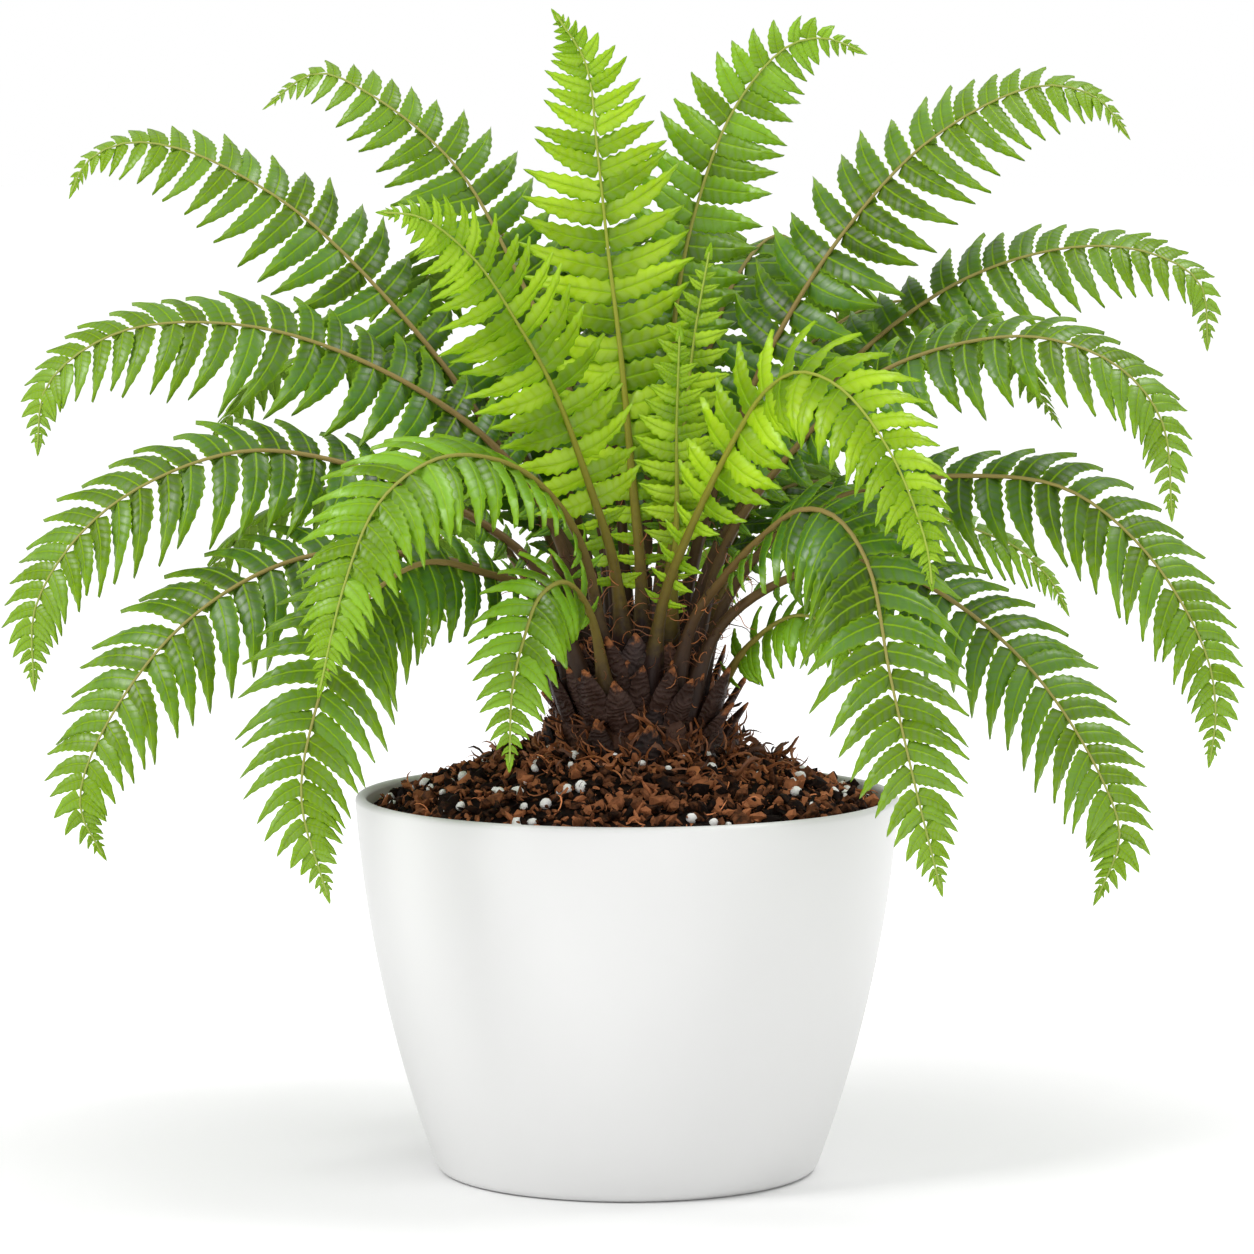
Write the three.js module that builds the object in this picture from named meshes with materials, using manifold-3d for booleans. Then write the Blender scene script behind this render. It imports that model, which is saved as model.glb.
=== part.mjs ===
// Potted silver lady fern: a tapered white pot, its potting mix, a short scaly trunk
// and a crown of arching fronds.
// Millimetres, +Z up, the origin at the centre of the pot's underside, -Y towards the viewer.

import * as THREE from "three";
import { mergeVertices } from "three/addons/utils/BufferGeometryUtils.js";
import Module from "manifold-3d";

const wasm = await Module();
wasm.setup();

// Pot
const POT_HEIGHT = 139;
const RIM_RADIUS = 100;
const WALL = 4.2;
const WALL_ARC_RADIUS = 492;
const RIM_LEAN = THREE.MathUtils.degToRad(4);
const FOOT_CORNER = 5;
const FLOOR_THICKNESS = 5;
const DRAIN_RADIUS = 5;
const DRAIN_CIRCLE = 36;
const DRAIN_COUNT = 5;
const ROUND_SEGMENTS = 48;
const DRAIN_SEGMENTS = 16;
const WALL_STEPS = 6;
const CORNER_STEPS = 3;
const LIP_STEPS = 4;

// Potting mix, mounded around the trunk
const MIX_EDGE_HEIGHT = 132;
const MIX_TOP_HEIGHT = 156;
const MIX_PLATEAU_SHARE = 0.3;
const MIX_SLOPE_POWER = 1.25;
const MIX_RINGS = 7;

// Trunk, which stands a little to the right of the pot's axis
const TRUNK_OFFSET = 5;
const TRUNK_RADIUS = 28;
const TRUNK_TOP = 198;
const CROWN_EDGE_RADIUS = 25;
const CROWN_EDGE_DROP = 9;
const CROWN_TOP_RADIUS = 15.4;
const CROWN_TOP_DROP = 2;
const SKIRT_RADIUS = 36;
const SKIRT_HEIGHT = 158;
const STUMP_RADIUS = 30;
const STUMP_FOOT_RADIUS = 18;
const STUMP_BOTTOM = 118;
const STUMP_CORNER_HEIGHT = 14;
const SCALE_SEGMENTS = 26;
const SCALE_ROWS = 7;
const SCALE_RELIEF = 1.8;

// Fronds: a bare stipe, then a rachis with leaflets, the pinnae, in pairs
const STIPE_HALF_WIDTH = 2.6;
const TIP_HALF_WIDTH = 0.5;
const STIPE_STEPS = 6;
const STIPE_TAPER_POWER = 2;
const BLADE_END = 0.985;
const PAIR_CROWDING = 0.36;
const PINNA_FOOT_ANGLE = 80;
const PINNA_ANGLE_LOSS = 22;
const PINNA_DROOP = 0.3;
const NEW_PINNA_DROOP = 0.08;
const LEAST_DROOP = 0.2;
const LOWER_ROW_DROOP = 2.4;
const PINNA_LEAST_LENGTH = 1.2;
const PINNA_SHORTEN = 0.78;
const OUTER_SEAT_RADIUS = 20;
const OUTER_SEAT_HEIGHT = 174;
const INNER_SEAT_HEIGHT = 182;
const BACK_BARE = 0.28;
const BACK_PAIRS = 20;

// Pinna lengths at equal steps from the blade's foot to its tip, as shares of the longest
const BLADE_SHARES = [0.65, 0.86, 0.97, 1, 0.79, 0.48, 0.05];
const BLADE_OUTLINE = new THREE.SplineCurve(BLADE_SHARES.map((share, i) => new THREE.Vector2(i, share)));

// Clearances between touching pieces, and between leaflets of different fronds
const GAP = 0.3;
const LEAF_CLEARANCE = 0.6;

const FINISH = {
  pot: { color: 0xf3f3f1, roughness: 0.42, metalness: 0 },
  mix: { color: 0x3a2318, roughness: 0.95, metalness: 0 },
  trunk: { color: 0x4a3023, roughness: 0.85, metalness: 0 },
  mature: { color: 0x3f6b2a, roughness: 0.45, metalness: 0 },
  fresh: { color: 0x6f9a36, roughness: 0.45, metalness: 0 },
  new: { color: 0xa3c24a, roughness: 0.5, metalness: 0 },
};

// Each route runs from the seat in the crown to the tip; faces is the way the upper side looks.
// bare is the leafless share of the length, and reach is the length of the longest pinna.
const SHOWN_FRONDS = [
  {
    name: "frond_crown_center",
    age: "new",
    route: [
      [6, -8, 188], [5, -7, 222], [2, -4, 255], [-2, 0, 298],
      [-7, 5, 339], [-11, 8, 376], [-15, 8, 406], [-26, 2, 424],
    ],
    faces: [0.05, -1, 0.25],
    bare: 0.28,
    reach: 32,
    pairs: 22,
  },
  {
    name: "frond_top_right",
    age: "fresh",
    route: [
      [10, 5, 188], [13, 9, 225], [15, 14, 272], [18, 24, 316],
      [25, 34, 351], [40, 46, 390], [60, 54, 413], [74, 58, 416],
      [88, 60, 411],
    ],
    faces: [0.3, -0.9, 0.3],
    bare: 0.3,
    reach: 27,
    pairs: 22,
  },
  {
    name: "frond_top_left",
    age: "mature",
    route: [
      [-1, 4, 188], [-9, 9, 242], [-21, 17, 286], [-42, 30, 332],
      [-64, 42, 369], [-94, 52, 394], [-116, 58, 403], [-135, 60, 391],
    ],
    faces: [-0.1, -0.6, 0.8],
    bare: 0.28,
    reach: 26,
    pairs: 22,
  },
  {
    name: "frond_right_top",
    age: "mature",
    route: [
      [17, 0, 186], [26, 1, 232], [36, 4, 262], [51, 8, 299],
      [79, 12, 344], [112, 16, 379], [151, 20, 398], [172, 20, 394],
      [184, 20, 380],
    ],
    faces: [0, -0.55, 0.83],
    bare: 0.27,
    reach: 31,
    pairs: 24,
  },
  {
    name: "frond_left_upper",
    age: "mature",
    route: [
      [-9, -1, 184], [-20, 2, 226], [-36, 5, 250], [-71, 18, 300],
      [-116, 30, 347], [-141, 36, 364], [-166, 40, 375], [-187, 44, 377],
      [-201, 45, 370], [-207, 45, 358],
    ],
    faces: [0, -0.55, 0.83],
    bare: 0.27,
    reach: 29,
    pairs: 24,
  },
  {
    name: "frond_left_high",
    age: "mature",
    route: [
      [-12, -8, 184], [-27, -8, 238], [-49, -8, 268], [-89, -8, 295],
      [-137, -8, 311], [-184, -12, 309], [-210, -15, 290], [-214, -15, 266],
    ],
    faces: [0, -0.55, 0.83],
    bare: 0.27,
    reach: 31,
    pairs: 24,
  },
  {
    name: "frond_left_mid",
    age: "mature",
    route: [
      [-14, -14, 180], [-32, -17, 222], [-57, -22, 243], [-106, -35, 264],
      [-142, -45, 267], [-186, -55, 247], [-210, -60, 214], [-211, -62, 185],
    ],
    faces: [0, -0.55, 0.83],
    bare: 0.3,
    reach: 30,
    pairs: 23,
  },
  {
    name: "frond_left_low",
    age: "mature",
    route: [
      [-17, -17, 176], [-35, -26, 215], [-64, -40, 228], [-115, -62, 231],
      [-157, -78, 208], [-187, -88, 166], [-192, -90, 145], [-184, -90, 128],
    ],
    faces: [0, -0.6, 0.8],
    bare: 0.3,
    reach: 31,
    pairs: 22,
  },
  {
    name: "frond_left_front",
    age: "mature",
    route: [
      [-14, -22, 176], [-27, -35, 212], [-51, -55, 225], [-73, -78, 230],
      [-95, -100, 214], [-109, -120, 177], [-112, -128, 152], [-103, -130, 119],
    ],
    faces: [0.1, -0.75, 0.65],
    bare: 0.26,
    reach: 30,
    pairs: 22,
  },
  {
    name: "frond_front_left",
    age: "fresh",
    route: [
      [-7, -19, 184], [-16, -36, 232], [-29, -60, 255], [-45, -85, 267],
      [-66, -112, 269], [-85, -135, 255], [-96, -150, 228], [-104, -158, 193],
    ],
    faces: [0, -0.6, 0.8],
    bare: 0.32,
    reach: 27,
    pairs: 22,
  },
  {
    name: "frond_front_left_small",
    age: "fresh",
    route: [
      [-6, -24, 170], [-13, -38, 208], [-22, -60, 222], [-31, -78, 218],
      [-36, -90, 205], [-40, -96, 188], [-41, -100, 162],
    ],
    faces: [0.1, -0.8, 0.6],
    bare: 0.3,
    reach: 20,
    pairs: 16,
  },
  {
    name: "frond_lime_left",
    age: "new",
    route: [
      [0, -13, 188], [-5, -20, 226], [-13, -32, 253], [-26, -52, 290],
      [-39, -70, 315], [-53, -88, 337], [-71, -104, 352], [-84, -112, 354],
    ],
    faces: [0, -0.9, 0.4],
    bare: 0.27,
    reach: 28,
    pairs: 22,
  },
  {
    name: "frond_lime_right",
    age: "new",
    route: [
      [8, -20, 178], [13, -30, 212], [20, -40, 233], [38, -62, 273],
      [49, -76, 291], [60, -88, 298], [74, -100, 293], [91, -114, 271],
      [103, -120, 240], [105, -121, 226],
    ],
    faces: [0, -0.75, 0.65],
    bare: 0.3,
    reach: 27,
    pairs: 22,
  },
  {
    name: "frond_right_upper",
    age: "mature",
    route: [
      [20, -6, 184], [31, -2, 226], [50, 4, 256], [82, 10, 297],
      [123, 14, 327], [163, 16, 339], [192, 14, 337], [210, 12, 326],
      [213, 10, 303],
    ],
    faces: [0, -0.55, 0.83],
    bare: 0.3,
    reach: 26,
    pairs: 24,
  },
  {
    name: "frond_right_mid",
    age: "mature",
    route: [
      [22, -11, 180], [36, -15, 232], [59, -20, 265], [89, -30, 294],
      [124, -40, 307], [150, -48, 308], [175, -52, 298], [190, -55, 279],
      [194, -55, 245],
    ],
    faces: [0, -0.5, 0.87],
    bare: 0.3,
    reach: 26,
    pairs: 23,
  },
  {
    name: "frond_right_lower",
    age: "mature",
    route: [
      [24, -17, 174], [37, -22, 214], [59, -27, 240], [87, -36, 254],
      [121, -46, 259], [156, -55, 255], [184, -62, 233], [205, -66, 198],
      [209, -66, 176], [207, -66, 158],
    ],
    faces: [0, -0.55, 0.83],
    bare: 0.3,
    reach: 28,
    pairs: 24,
  },
  {
    name: "frond_right_low",
    age: "mature",
    route: [
      [21, -22, 172], [34, -31, 204], [58, -43, 222], [86, -60, 229],
      [116, -78, 216], [144, -92, 191], [166, -100, 156], [172, -102, 136],
      [164, -102, 114],
    ],
    faces: [0, -0.6, 0.8],
    bare: 0.32,
    reach: 28,
    pairs: 22,
  },
  {
    name: "frond_front_right",
    age: "mature",
    route: [
      [16, -21, 173], [24, -34, 206], [35, -48, 223], [46, -66, 237],
      [61, -90, 250], [73, -106, 248], [83, -120, 233], [90, -138, 196],
      [99, -148, 156], [107, -150, 124],
    ],
    faces: [0, -0.7, 0.7],
    bare: 0.32,
    reach: 30,
    pairs: 22,
  },
  {
    name: "frond_right_back",
    age: "fresh",
    route: [
      [25, 9, 174], [37, 17, 218], [57, 30, 236], [87, 55, 243],
      [115, 75, 237], [133, 85, 230], [150, 92, 222], [163, 96, 209],
      [169, 97, 198],
    ],
    faces: [0, -0.5, 0.87],
    bare: 0.3,
    reach: 23,
    pairs: 22,
  },
  {
    name: "frond_right_small",
    age: "fresh",
    route: [
      [26, -9, 164], [44, -26, 196], [62, -46, 209], [77, -62, 202],
      [83, -70, 182],
    ],
    faces: [0, -0.7, 0.7],
    bare: 0.25,
    reach: 17,
    pairs: 13,
  },
  {
    name: "frond_young_tall",
    age: "new",
    route: [
      [12, -3, 190], [18, -5, 245], [22, -4, 285], [25, -2, 310],
      [30, 0, 338],
    ],
    faces: [0, -1, 0.3],
    bare: 0.35,
    reach: 15,
    pairs: 14,
  },
  {
    name: "frond_young_short",
    age: "new",
    route: [
      [15, -10, 188], [18, -13, 240], [18, -16, 275], [19, -17, 308],
    ],
    faces: [0, -1, 0.3],
    bare: 0.35,
    reach: 15,
    pairs: 13,
  },
];

// The fronds behind the crown arch away from the viewer; bearing turns from +X towards +Y.
// span is how far the tip reaches from the trunk's axis, apex and tip are heights.
const BACK_FRONDS = [
  { name: "frond_back_upper_1", bearing: 30, seat: 12, span: 185, apex: 318, tip: 270, reach: 29 },
  { name: "frond_back_upper_2", bearing: 60, seat: 15, span: 176, apex: 342, tip: 258, reach: 32 },
  { name: "frond_back_upper_3", bearing: 84, seat: 13, span: 186, apex: 352, tip: 276, reach: 32 },
  { name: "frond_back_upper_4", bearing: 104, seat: 15, span: 190, apex: 338, tip: 250, reach: 32 },
  { name: "frond_back_upper_5", bearing: 126, seat: 14, span: 170, apex: 346, tip: 268, reach: 32 },
  { name: "frond_back_upper_6", bearing: 150, seat: 17, span: 190, apex: 303, tip: 264, reach: 29 },
  { name: "frond_back_lower_1", bearing: 43, seat: 22, span: 150, apex: 250, tip: 200, reach: 27 },
  { name: "frond_back_lower_2", bearing: 60, seat: 21, span: 166, apex: 262, tip: 184, reach: 29 },
  { name: "frond_back_lower_3", bearing: 80, seat: 22, span: 196, apex: 268, tip: 186, reach: 30 },
  { name: "frond_back_lower_4", bearing: 97, seat: 22, span: 200, apex: 262, tip: 164, reach: 30 },
  { name: "frond_back_lower_5", bearing: 117, seat: 21, span: 190, apex: 270, tip: 176, reach: 30 },
  { name: "frond_back_lower_6", bearing: 138, seat: 22, span: 158, apex: 258, tip: 182, reach: 29 },
  { name: "frond_back_lower_7", bearing: 165, seat: 22, span: 175, apex: 252, tip: 205, reach: 27 },
];

// A point on the pot's outer wall, which is one arc; drop is the height below the rim.
function wallLean(drop) {
  return Math.asin(Math.sin(RIM_LEAN) + drop / WALL_ARC_RADIUS);
}

function wallPoint(height, inset) {
  const lean = wallLean(POT_HEIGHT - height);
  const radius = RIM_RADIUS - WALL_ARC_RADIUS * (Math.cos(RIM_LEAN) - Math.cos(lean));
  return new THREE.Vector2(radius - inset * Math.cos(lean), height + inset * Math.sin(lean));
}

// Points along the wall between two heights, set in by the given depth.
function wallRun(fromHeight, toHeight, inset, steps) {
  const points = [];
  for (let i = 0; i <= steps; i += 1) {
    points.push(wallPoint(THREE.MathUtils.lerp(fromHeight, toHeight, i / steps), inset));
  }
  return points;
}

function arcPoints(centreRadius, centreHeight, radius, fromAngle, toAngle, steps) {
  const points = [];
  for (let i = 0; i <= steps; i += 1) {
    const angle = THREE.MathUtils.lerp(fromAngle, toAngle, i / steps);
    const x = centreRadius + radius * Math.cos(angle);
    const y = centreHeight + radius * Math.sin(angle);
    points.push(new THREE.Vector2(x, y));
  }
  return points;
}

// A lathe turns about Y, so the result is stood up to turn about Z.
function lathe(profile, segments) {
  return new THREE.LatheGeometry(profile, segments).rotateX(Math.PI / 2);
}

function toSolid(geometry) {
  const bare = geometry.clone();
  bare.deleteAttribute("normal");
  bare.deleteAttribute("uv");
  const merged = mergeVertices(bare, 1e-4);
  const mesh = new wasm.Mesh({
    numProp: 3,
    vertProperties: new Float32Array(merged.attributes.position.array),
    triVerts: new Uint32Array(merged.index.array),
  });
  return new wasm.Manifold(mesh);
}

function toGeometry(solid) {
  const mesh = solid.getMesh();
  const geometry = new THREE.BufferGeometry();
  geometry.setAttribute("position", new THREE.BufferAttribute(new Float32Array(mesh.vertProperties), 3));
  geometry.setIndex(new THREE.BufferAttribute(new Uint32Array(mesh.triVerts), 1));
  return geometry;
}

function namedMesh(name, geometry, finish) {
  const shaded = geometry.index ? geometry.toNonIndexed() : geometry;
  shaded.computeVertexNormals();
  const mesh = new THREE.Mesh(shaded, new THREE.MeshStandardMaterial({ ...finish, flatShading: true }));
  mesh.name = name;
  return mesh;
}

// Pot: a thin wall with a rounded lip, a rounded foot corner and a flat floor with drain holes.
function potGeometry() {
  const footLean = wallLean(POT_HEIGHT);
  const footRadius = wallPoint(0, 0).x;
  const cornerCentre = footRadius - (FOOT_CORNER * (1 - Math.sin(footLean))) / Math.cos(footLean);
  const cornerTop = FOOT_CORNER * (1 - Math.sin(footLean));
  const lipRadius = WALL / 2;
  const lipCentre = wallPoint(POT_HEIGHT - lipRadius, lipRadius);
  const profile = [
    new THREE.Vector2(0, 0),
    ...arcPoints(cornerCentre, FOOT_CORNER, FOOT_CORNER, -Math.PI / 2, -footLean, CORNER_STEPS),
    ...wallRun(cornerTop, POT_HEIGHT - lipRadius, 0, WALL_STEPS).slice(1),
    ...arcPoints(lipCentre.x, lipCentre.y, lipRadius, 0, Math.PI, LIP_STEPS).slice(1, -1),
    ...wallRun(POT_HEIGHT - lipRadius, FLOOR_THICKNESS, WALL, WALL_STEPS),
  ];
  profile[profile.length - 1].y = FLOOR_THICKNESS;
  profile.push(new THREE.Vector2(0, FLOOR_THICKNESS));
  let pot = toSolid(lathe(profile, ROUND_SEGMENTS));
  for (let i = 0; i < DRAIN_COUNT; i += 1) {
    const angle = (i / DRAIN_COUNT) * Math.PI * 2;
    const depth = FLOOR_THICKNESS * 4;
    const drill = new THREE.CylinderGeometry(DRAIN_RADIUS, DRAIN_RADIUS, depth, DRAIN_SEGMENTS);
    drill.rotateX(Math.PI / 2);
    drill.translate(DRAIN_CIRCLE * Math.cos(angle), DRAIN_CIRCLE * Math.sin(angle), 0);
    pot = pot.subtract(toSolid(drill));
  }
  return toGeometry(pot);
}

// Height of the mounded potting mix at a distance from the pot's axis.
function mixHeight(radius) {
  const edge = wallPoint(MIX_EDGE_HEIGHT, WALL + GAP).x;
  const plateau = edge * MIX_PLATEAU_SHARE;
  const share = THREE.MathUtils.clamp((radius - plateau) / (edge - plateau), 0, 1);
  return THREE.MathUtils.lerp(MIX_TOP_HEIGHT, MIX_EDGE_HEIGHT, Math.pow(share, MIX_SLOPE_POWER));
}

function mixGeometry() {
  const profile = [new THREE.Vector2(0, FLOOR_THICKNESS + GAP)];
  const wall = wallRun(FLOOR_THICKNESS, MIX_EDGE_HEIGHT, WALL + GAP, WALL_STEPS);
  wall[0].y = FLOOR_THICKNESS + GAP;
  profile.push(...wall);
  const edge = wall[wall.length - 1];
  for (let i = 1; i < MIX_RINGS; i += 1) {
    const radius = edge.x * (1 - i / MIX_RINGS);
    profile.push(new THREE.Vector2(radius, mixHeight(radius)));
  }
  profile.push(new THREE.Vector2(0, MIX_TOP_HEIGHT));
  const mix = toSolid(lathe(profile, ROUND_SEGMENTS));
  return toGeometry(mix.subtract(toSolid(trunkGeometry(GAP))));
}

// Trunk: rows of overlapping leaf bases over a stump that goes down into the mix.
function trunkGeometry(grow) {
  const crownEdge = TRUNK_TOP - CROWN_EDGE_DROP;
  const rows = [
    { radius: STUMP_FOOT_RADIUS, height: STUMP_BOTTOM, relief: 0 },
    { radius: STUMP_RADIUS, height: STUMP_BOTTOM + STUMP_CORNER_HEIGHT, relief: 0 },
  ];
  for (let i = 0; i < SCALE_ROWS; i += 1) {
    const share = i / (SCALE_ROWS - 1);
    const flare = Math.pow(1 - share, 2) * (SKIRT_RADIUS - TRUNK_RADIUS);
    const radius = TRUNK_RADIUS + flare - share * (TRUNK_RADIUS - CROWN_EDGE_RADIUS);
    const height = THREE.MathUtils.lerp(SKIRT_HEIGHT, crownEdge, share);
    rows.push({ radius, height, relief: i % 2 === 0 ? SCALE_RELIEF : -SCALE_RELIEF });
  }
  rows.push({ radius: CROWN_TOP_RADIUS, height: TRUNK_TOP - CROWN_TOP_DROP, relief: 0 });

  const positions = [0, 0, STUMP_BOTTOM - grow];
  for (const row of rows) {
    const height = row.height + (row.height > crownEdge ? grow : 0);
    for (let k = 0; k < SCALE_SEGMENTS; k += 1) {
      const angle = (k / SCALE_SEGMENTS) * Math.PI * 2;
      const radius = row.radius + (k % 2 === 0 ? row.relief : -row.relief) + grow;
      positions.push(radius * Math.cos(angle), radius * Math.sin(angle), height);
    }
  }
  const top = positions.length / 3;
  positions.push(0, 0, TRUNK_TOP + grow);

  const index = [];
  const ringStart = (row) => 1 + row * SCALE_SEGMENTS;
  for (let k = 0; k < SCALE_SEGMENTS; k += 1) {
    const next = (k + 1) % SCALE_SEGMENTS;
    index.push(0, ringStart(0) + next, ringStart(0) + k);
    for (let row = 0; row < rows.length - 1; row += 1) {
      const a = ringStart(row) + k;
      const b = ringStart(row) + next;
      const c = ringStart(row + 1) + next;
      const d = ringStart(row + 1) + k;
      index.push(a, b, c, a, c, d);
    }
    index.push(ringStart(rows.length - 1) + k, ringStart(rows.length - 1) + next, top);
  }
  const geometry = new THREE.BufferGeometry();
  geometry.setAttribute("position", new THREE.Float32BufferAttribute(positions, 3));
  geometry.setIndex(index);
  return geometry.translate(TRUNK_OFFSET, 0, 0);
}

// Turns a back frond's few sizes into a route like those of the shown fronds: up, over its apex and down.
function backFrond({ name, bearing, seat, span, apex, tip, reach }) {
  const angle = THREE.MathUtils.degToRad(bearing);
  const seatHeight = seat > OUTER_SEAT_RADIUS ? OUTER_SEAT_HEIGHT : INNER_SEAT_HEIGHT;
  const rise = apex - seatHeight;
  const fall = apex - tip;
  const stations = [
    [seat, seatHeight],
    [seat + 0.09 * span, seatHeight + 0.42 * rise],
    [0.36 * span, seatHeight + 0.85 * rise],
    [0.6 * span, apex],
    [0.84 * span, apex - 0.3 * fall],
    [span, tip],
  ];
  const route = stations.map(([radius, height]) => [
    TRUNK_OFFSET + radius * Math.cos(angle),
    radius * Math.sin(angle),
    height,
  ]);
  const faces = [0.2 * Math.cos(angle), 0.2, 1];
  return { name, age: "mature", route, faces, bare: BACK_BARE, reach, pairs: BACK_PAIRS };
}

// Share of the longest pinna's length at a place along the blade, 0 at its foot and 1 at its tip.
function bladeShare(place) {
  return BLADE_OUTLINE.getPoint(place).y;
}

// The curve, the frame along it and the ring of four corners at a share of the frond's length.
class Rachis {
  constructor(frond) {
    this.frond = frond;
    this.curve = new THREE.CatmullRomCurve3(frond.route.map((point) => new THREE.Vector3(...point)));
    this.curve.arcLengthDivisions = 400;
    this.faces = new THREE.Vector3(...frond.faces).normalize();
  }

  frame(share) {
    const point = this.curve.getPointAt(share);
    const along = this.curve.getTangentAt(share);
    const up = this.faces.clone().addScaledVector(along, -this.faces.dot(along)).normalize();
    const side = new THREE.Vector3().crossVectors(along, up);
    return { point, along, up, side };
  }

  halfWidth(share) {
    return THREE.MathUtils.lerp(TIP_HALF_WIDTH, STIPE_HALF_WIDTH, Math.pow(1 - share, STIPE_TAPER_POWER));
  }

  ring(share) {
    const { point, up, side } = this.frame(share);
    const half = this.halfWidth(share);
    const corner = (s, u) => point.clone().addScaledVector(side, s * half).addScaledVector(up, u * half);
    return [corner(1, 1), corner(1, -1), corner(-1, -1), corner(-1, 1)];
  }

  shares() {
    const { bare, pairs } = this.frond;
    const shares = [];
    for (let i = 0; i < STIPE_STEPS; i += 1) {
      shares.push((bare * i) / STIPE_STEPS);
    }
    for (let i = 0; i <= pairs; i += 1) {
      const place = i / pairs;
      const crowded = place * (1 + PAIR_CROWDING - PAIR_CROWDING * place * place);
      shares.push(bare + (1 - bare) * crowded * BLADE_END);
    }
    return shares;
  }

  pinnaTip(share, sideSign, length) {
    const place = (share - this.frond.bare) / (1 - this.frond.bare);
    const { point, along, side } = this.frame(share);
    const outward = side.multiplyScalar(sideSign);
    const angle = THREE.MathUtils.degToRad(PINNA_FOOT_ANGLE - PINNA_ANGLE_LOSS * place);
    const direction = new THREE.Vector3()
      .addScaledVector(along, Math.cos(angle))
      .addScaledVector(outward, Math.sin(angle));
    const lying = 1 - along.z * along.z;
    const droop = this.frond.age === "new" ? NEW_PINNA_DROOP : PINNA_DROOP;
    direction.z -= droop * lying * Math.max(1 - LOWER_ROW_DROOP * outward.z, LEAST_DROOP);
    return point.addScaledVector(direction.normalize(), length + this.halfWidth(share));
  }
}

// A pyramid on four corners. A spread above 0 grows it all round, and one below 0 shrinks its foot.
function pyramidSolid(corners, tip, spread) {
  const middle = corners.reduce((sum, corner) => sum.add(corner), new THREE.Vector3()).divideScalar(4);
  const outward = tip.clone().sub(middle).normalize();
  const base = corners.map((corner) => {
    const away = corner.clone().sub(middle).normalize();
    return corner.clone().addScaledVector(away, spread).addScaledVector(outward, Math.max(-spread, 0));
  });
  const points = [...base, tip.clone().addScaledVector(outward, Math.max(spread, 0))];
  const mesh = new wasm.Mesh({
    numProp: 3,
    vertProperties: new Float32Array(points.flatMap((point) => point.toArray())),
    triVerts: new Uint32Array([0, 1, 4, 1, 2, 4, 2, 3, 4, 3, 0, 4, 0, 2, 1, 0, 3, 2]),
  });
  return { solid: new wasm.Manifold(mesh), box: new THREE.Box3().setFromPoints(points) };
}

function meets(one, other) {
  if (!one.box.intersectsBox(other.box)) {
    return false;
  }
  const common = one.solid.intersect(other.solid);
  const meeting = !common.isEmpty();
  common.delete();
  return meeting;
}

// Corners of one side of the rachis between two rings, in an order whose pyramid faces out.
function sideCorners(ringA, ringB, sideSign) {
  if (sideSign > 0) {
    return [ringA[0], ringA[1], ringB[1], ringB[0]];
  }
  return [ringA[2], ringA[3], ringB[3], ringB[2]];
}

function rachisGeometry(rachis, tips) {
  const shares = rachis.shares();
  const rings = shares.map((share) => rachis.ring(share));
  const end = rachis.curve.getPointAt(1);
  const triangles = [];
  const quad = (a, b, c, d) => triangles.push(a, b, c, a, c, d);
  quad(...rings[0].slice().reverse());
  for (let i = 0; i < rings.length - 1; i += 1) {
    const [a, b] = [rings[i], rings[i + 1]];
    quad(a[3], a[0], b[0], b[3]);
    quad(a[1], a[2], b[2], b[1]);
    for (const sideSign of [1, -1]) {
      const [p, q, r, s] = sideCorners(a, b, sideSign);
      const tip = tips ? tips.get(`${i},${sideSign}`) : undefined;
      if (tip) {
        triangles.push(p, q, tip, q, r, tip, r, s, tip, s, p, tip);
      } else {
        quad(p, q, r, s);
      }
    }
  }
  const last = rings[rings.length - 1];
  for (let k = 0; k < 4; k += 1) {
    triangles.push(last[k], last[(k + 1) % 4], end);
  }
  const positions = triangles.flatMap((point) => point.toArray());
  const geometry = new THREE.BufferGeometry();
  geometry.setAttribute("position", new THREE.Float32BufferAttribute(positions, 3));
  return geometry;
}

function boxedSolid(geometry) {
  geometry.computeBoundingBox();
  return { solid: toSolid(geometry), box: geometry.boundingBox.clone() };
}

// Pinna tips, each drawn back along its length until it is clear of everything placed before it.
function clearTips(rachis, ownStem, stems, leaves) {
  const shares = rachis.shares();
  const tips = new Map();
  const own = [];
  for (let i = STIPE_STEPS; i < shares.length - 1; i += 1) {
    const middle = (shares[i] + shares[i + 1]) / 2;
    const place = (middle - rachis.frond.bare) / (1 - rachis.frond.bare);
    for (const sideSign of [1, -1]) {
      const corners = sideCorners(rachis.ring(shares[i]), rachis.ring(shares[i + 1]), sideSign);
      let length = rachis.frond.reach * bladeShare(place);
      while (length > PINNA_LEAST_LENGTH) {
        const tip = rachis.pinnaTip(middle, sideSign, length);
        const grown = pyramidSolid(corners, tip, LEAF_CLEARANCE);
        const shrunk = pyramidSolid(corners, tip, -LEAF_CLEARANCE);
        const blocked = stems.some((stem) => stem !== ownStem && meets(grown, stem))
          || leaves.some((leaf) => meets(grown, leaf))
          || own.some((leaf) => meets(shrunk, leaf));
        grown.solid.delete();
        shrunk.solid.delete();
        if (!blocked) {
          tips.set(`${i},${sideSign}`, tip);
          own.push(pyramidSolid(corners, tip, 0));
          break;
        }
        length *= PINNA_SHORTEN;
      }
    }
  }
  leaves.push(...own);
  return tips;
}

const fern = new THREE.Group();
const potMesh = namedMesh("pot", potGeometry(), FINISH.pot);
const mixMesh = namedMesh("potting_mix", mixGeometry(), FINISH.mix);
const trunkMesh = namedMesh("trunk", trunkGeometry(0), FINISH.trunk);
fern.add(potMesh, mixMesh, trunkMesh);

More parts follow.
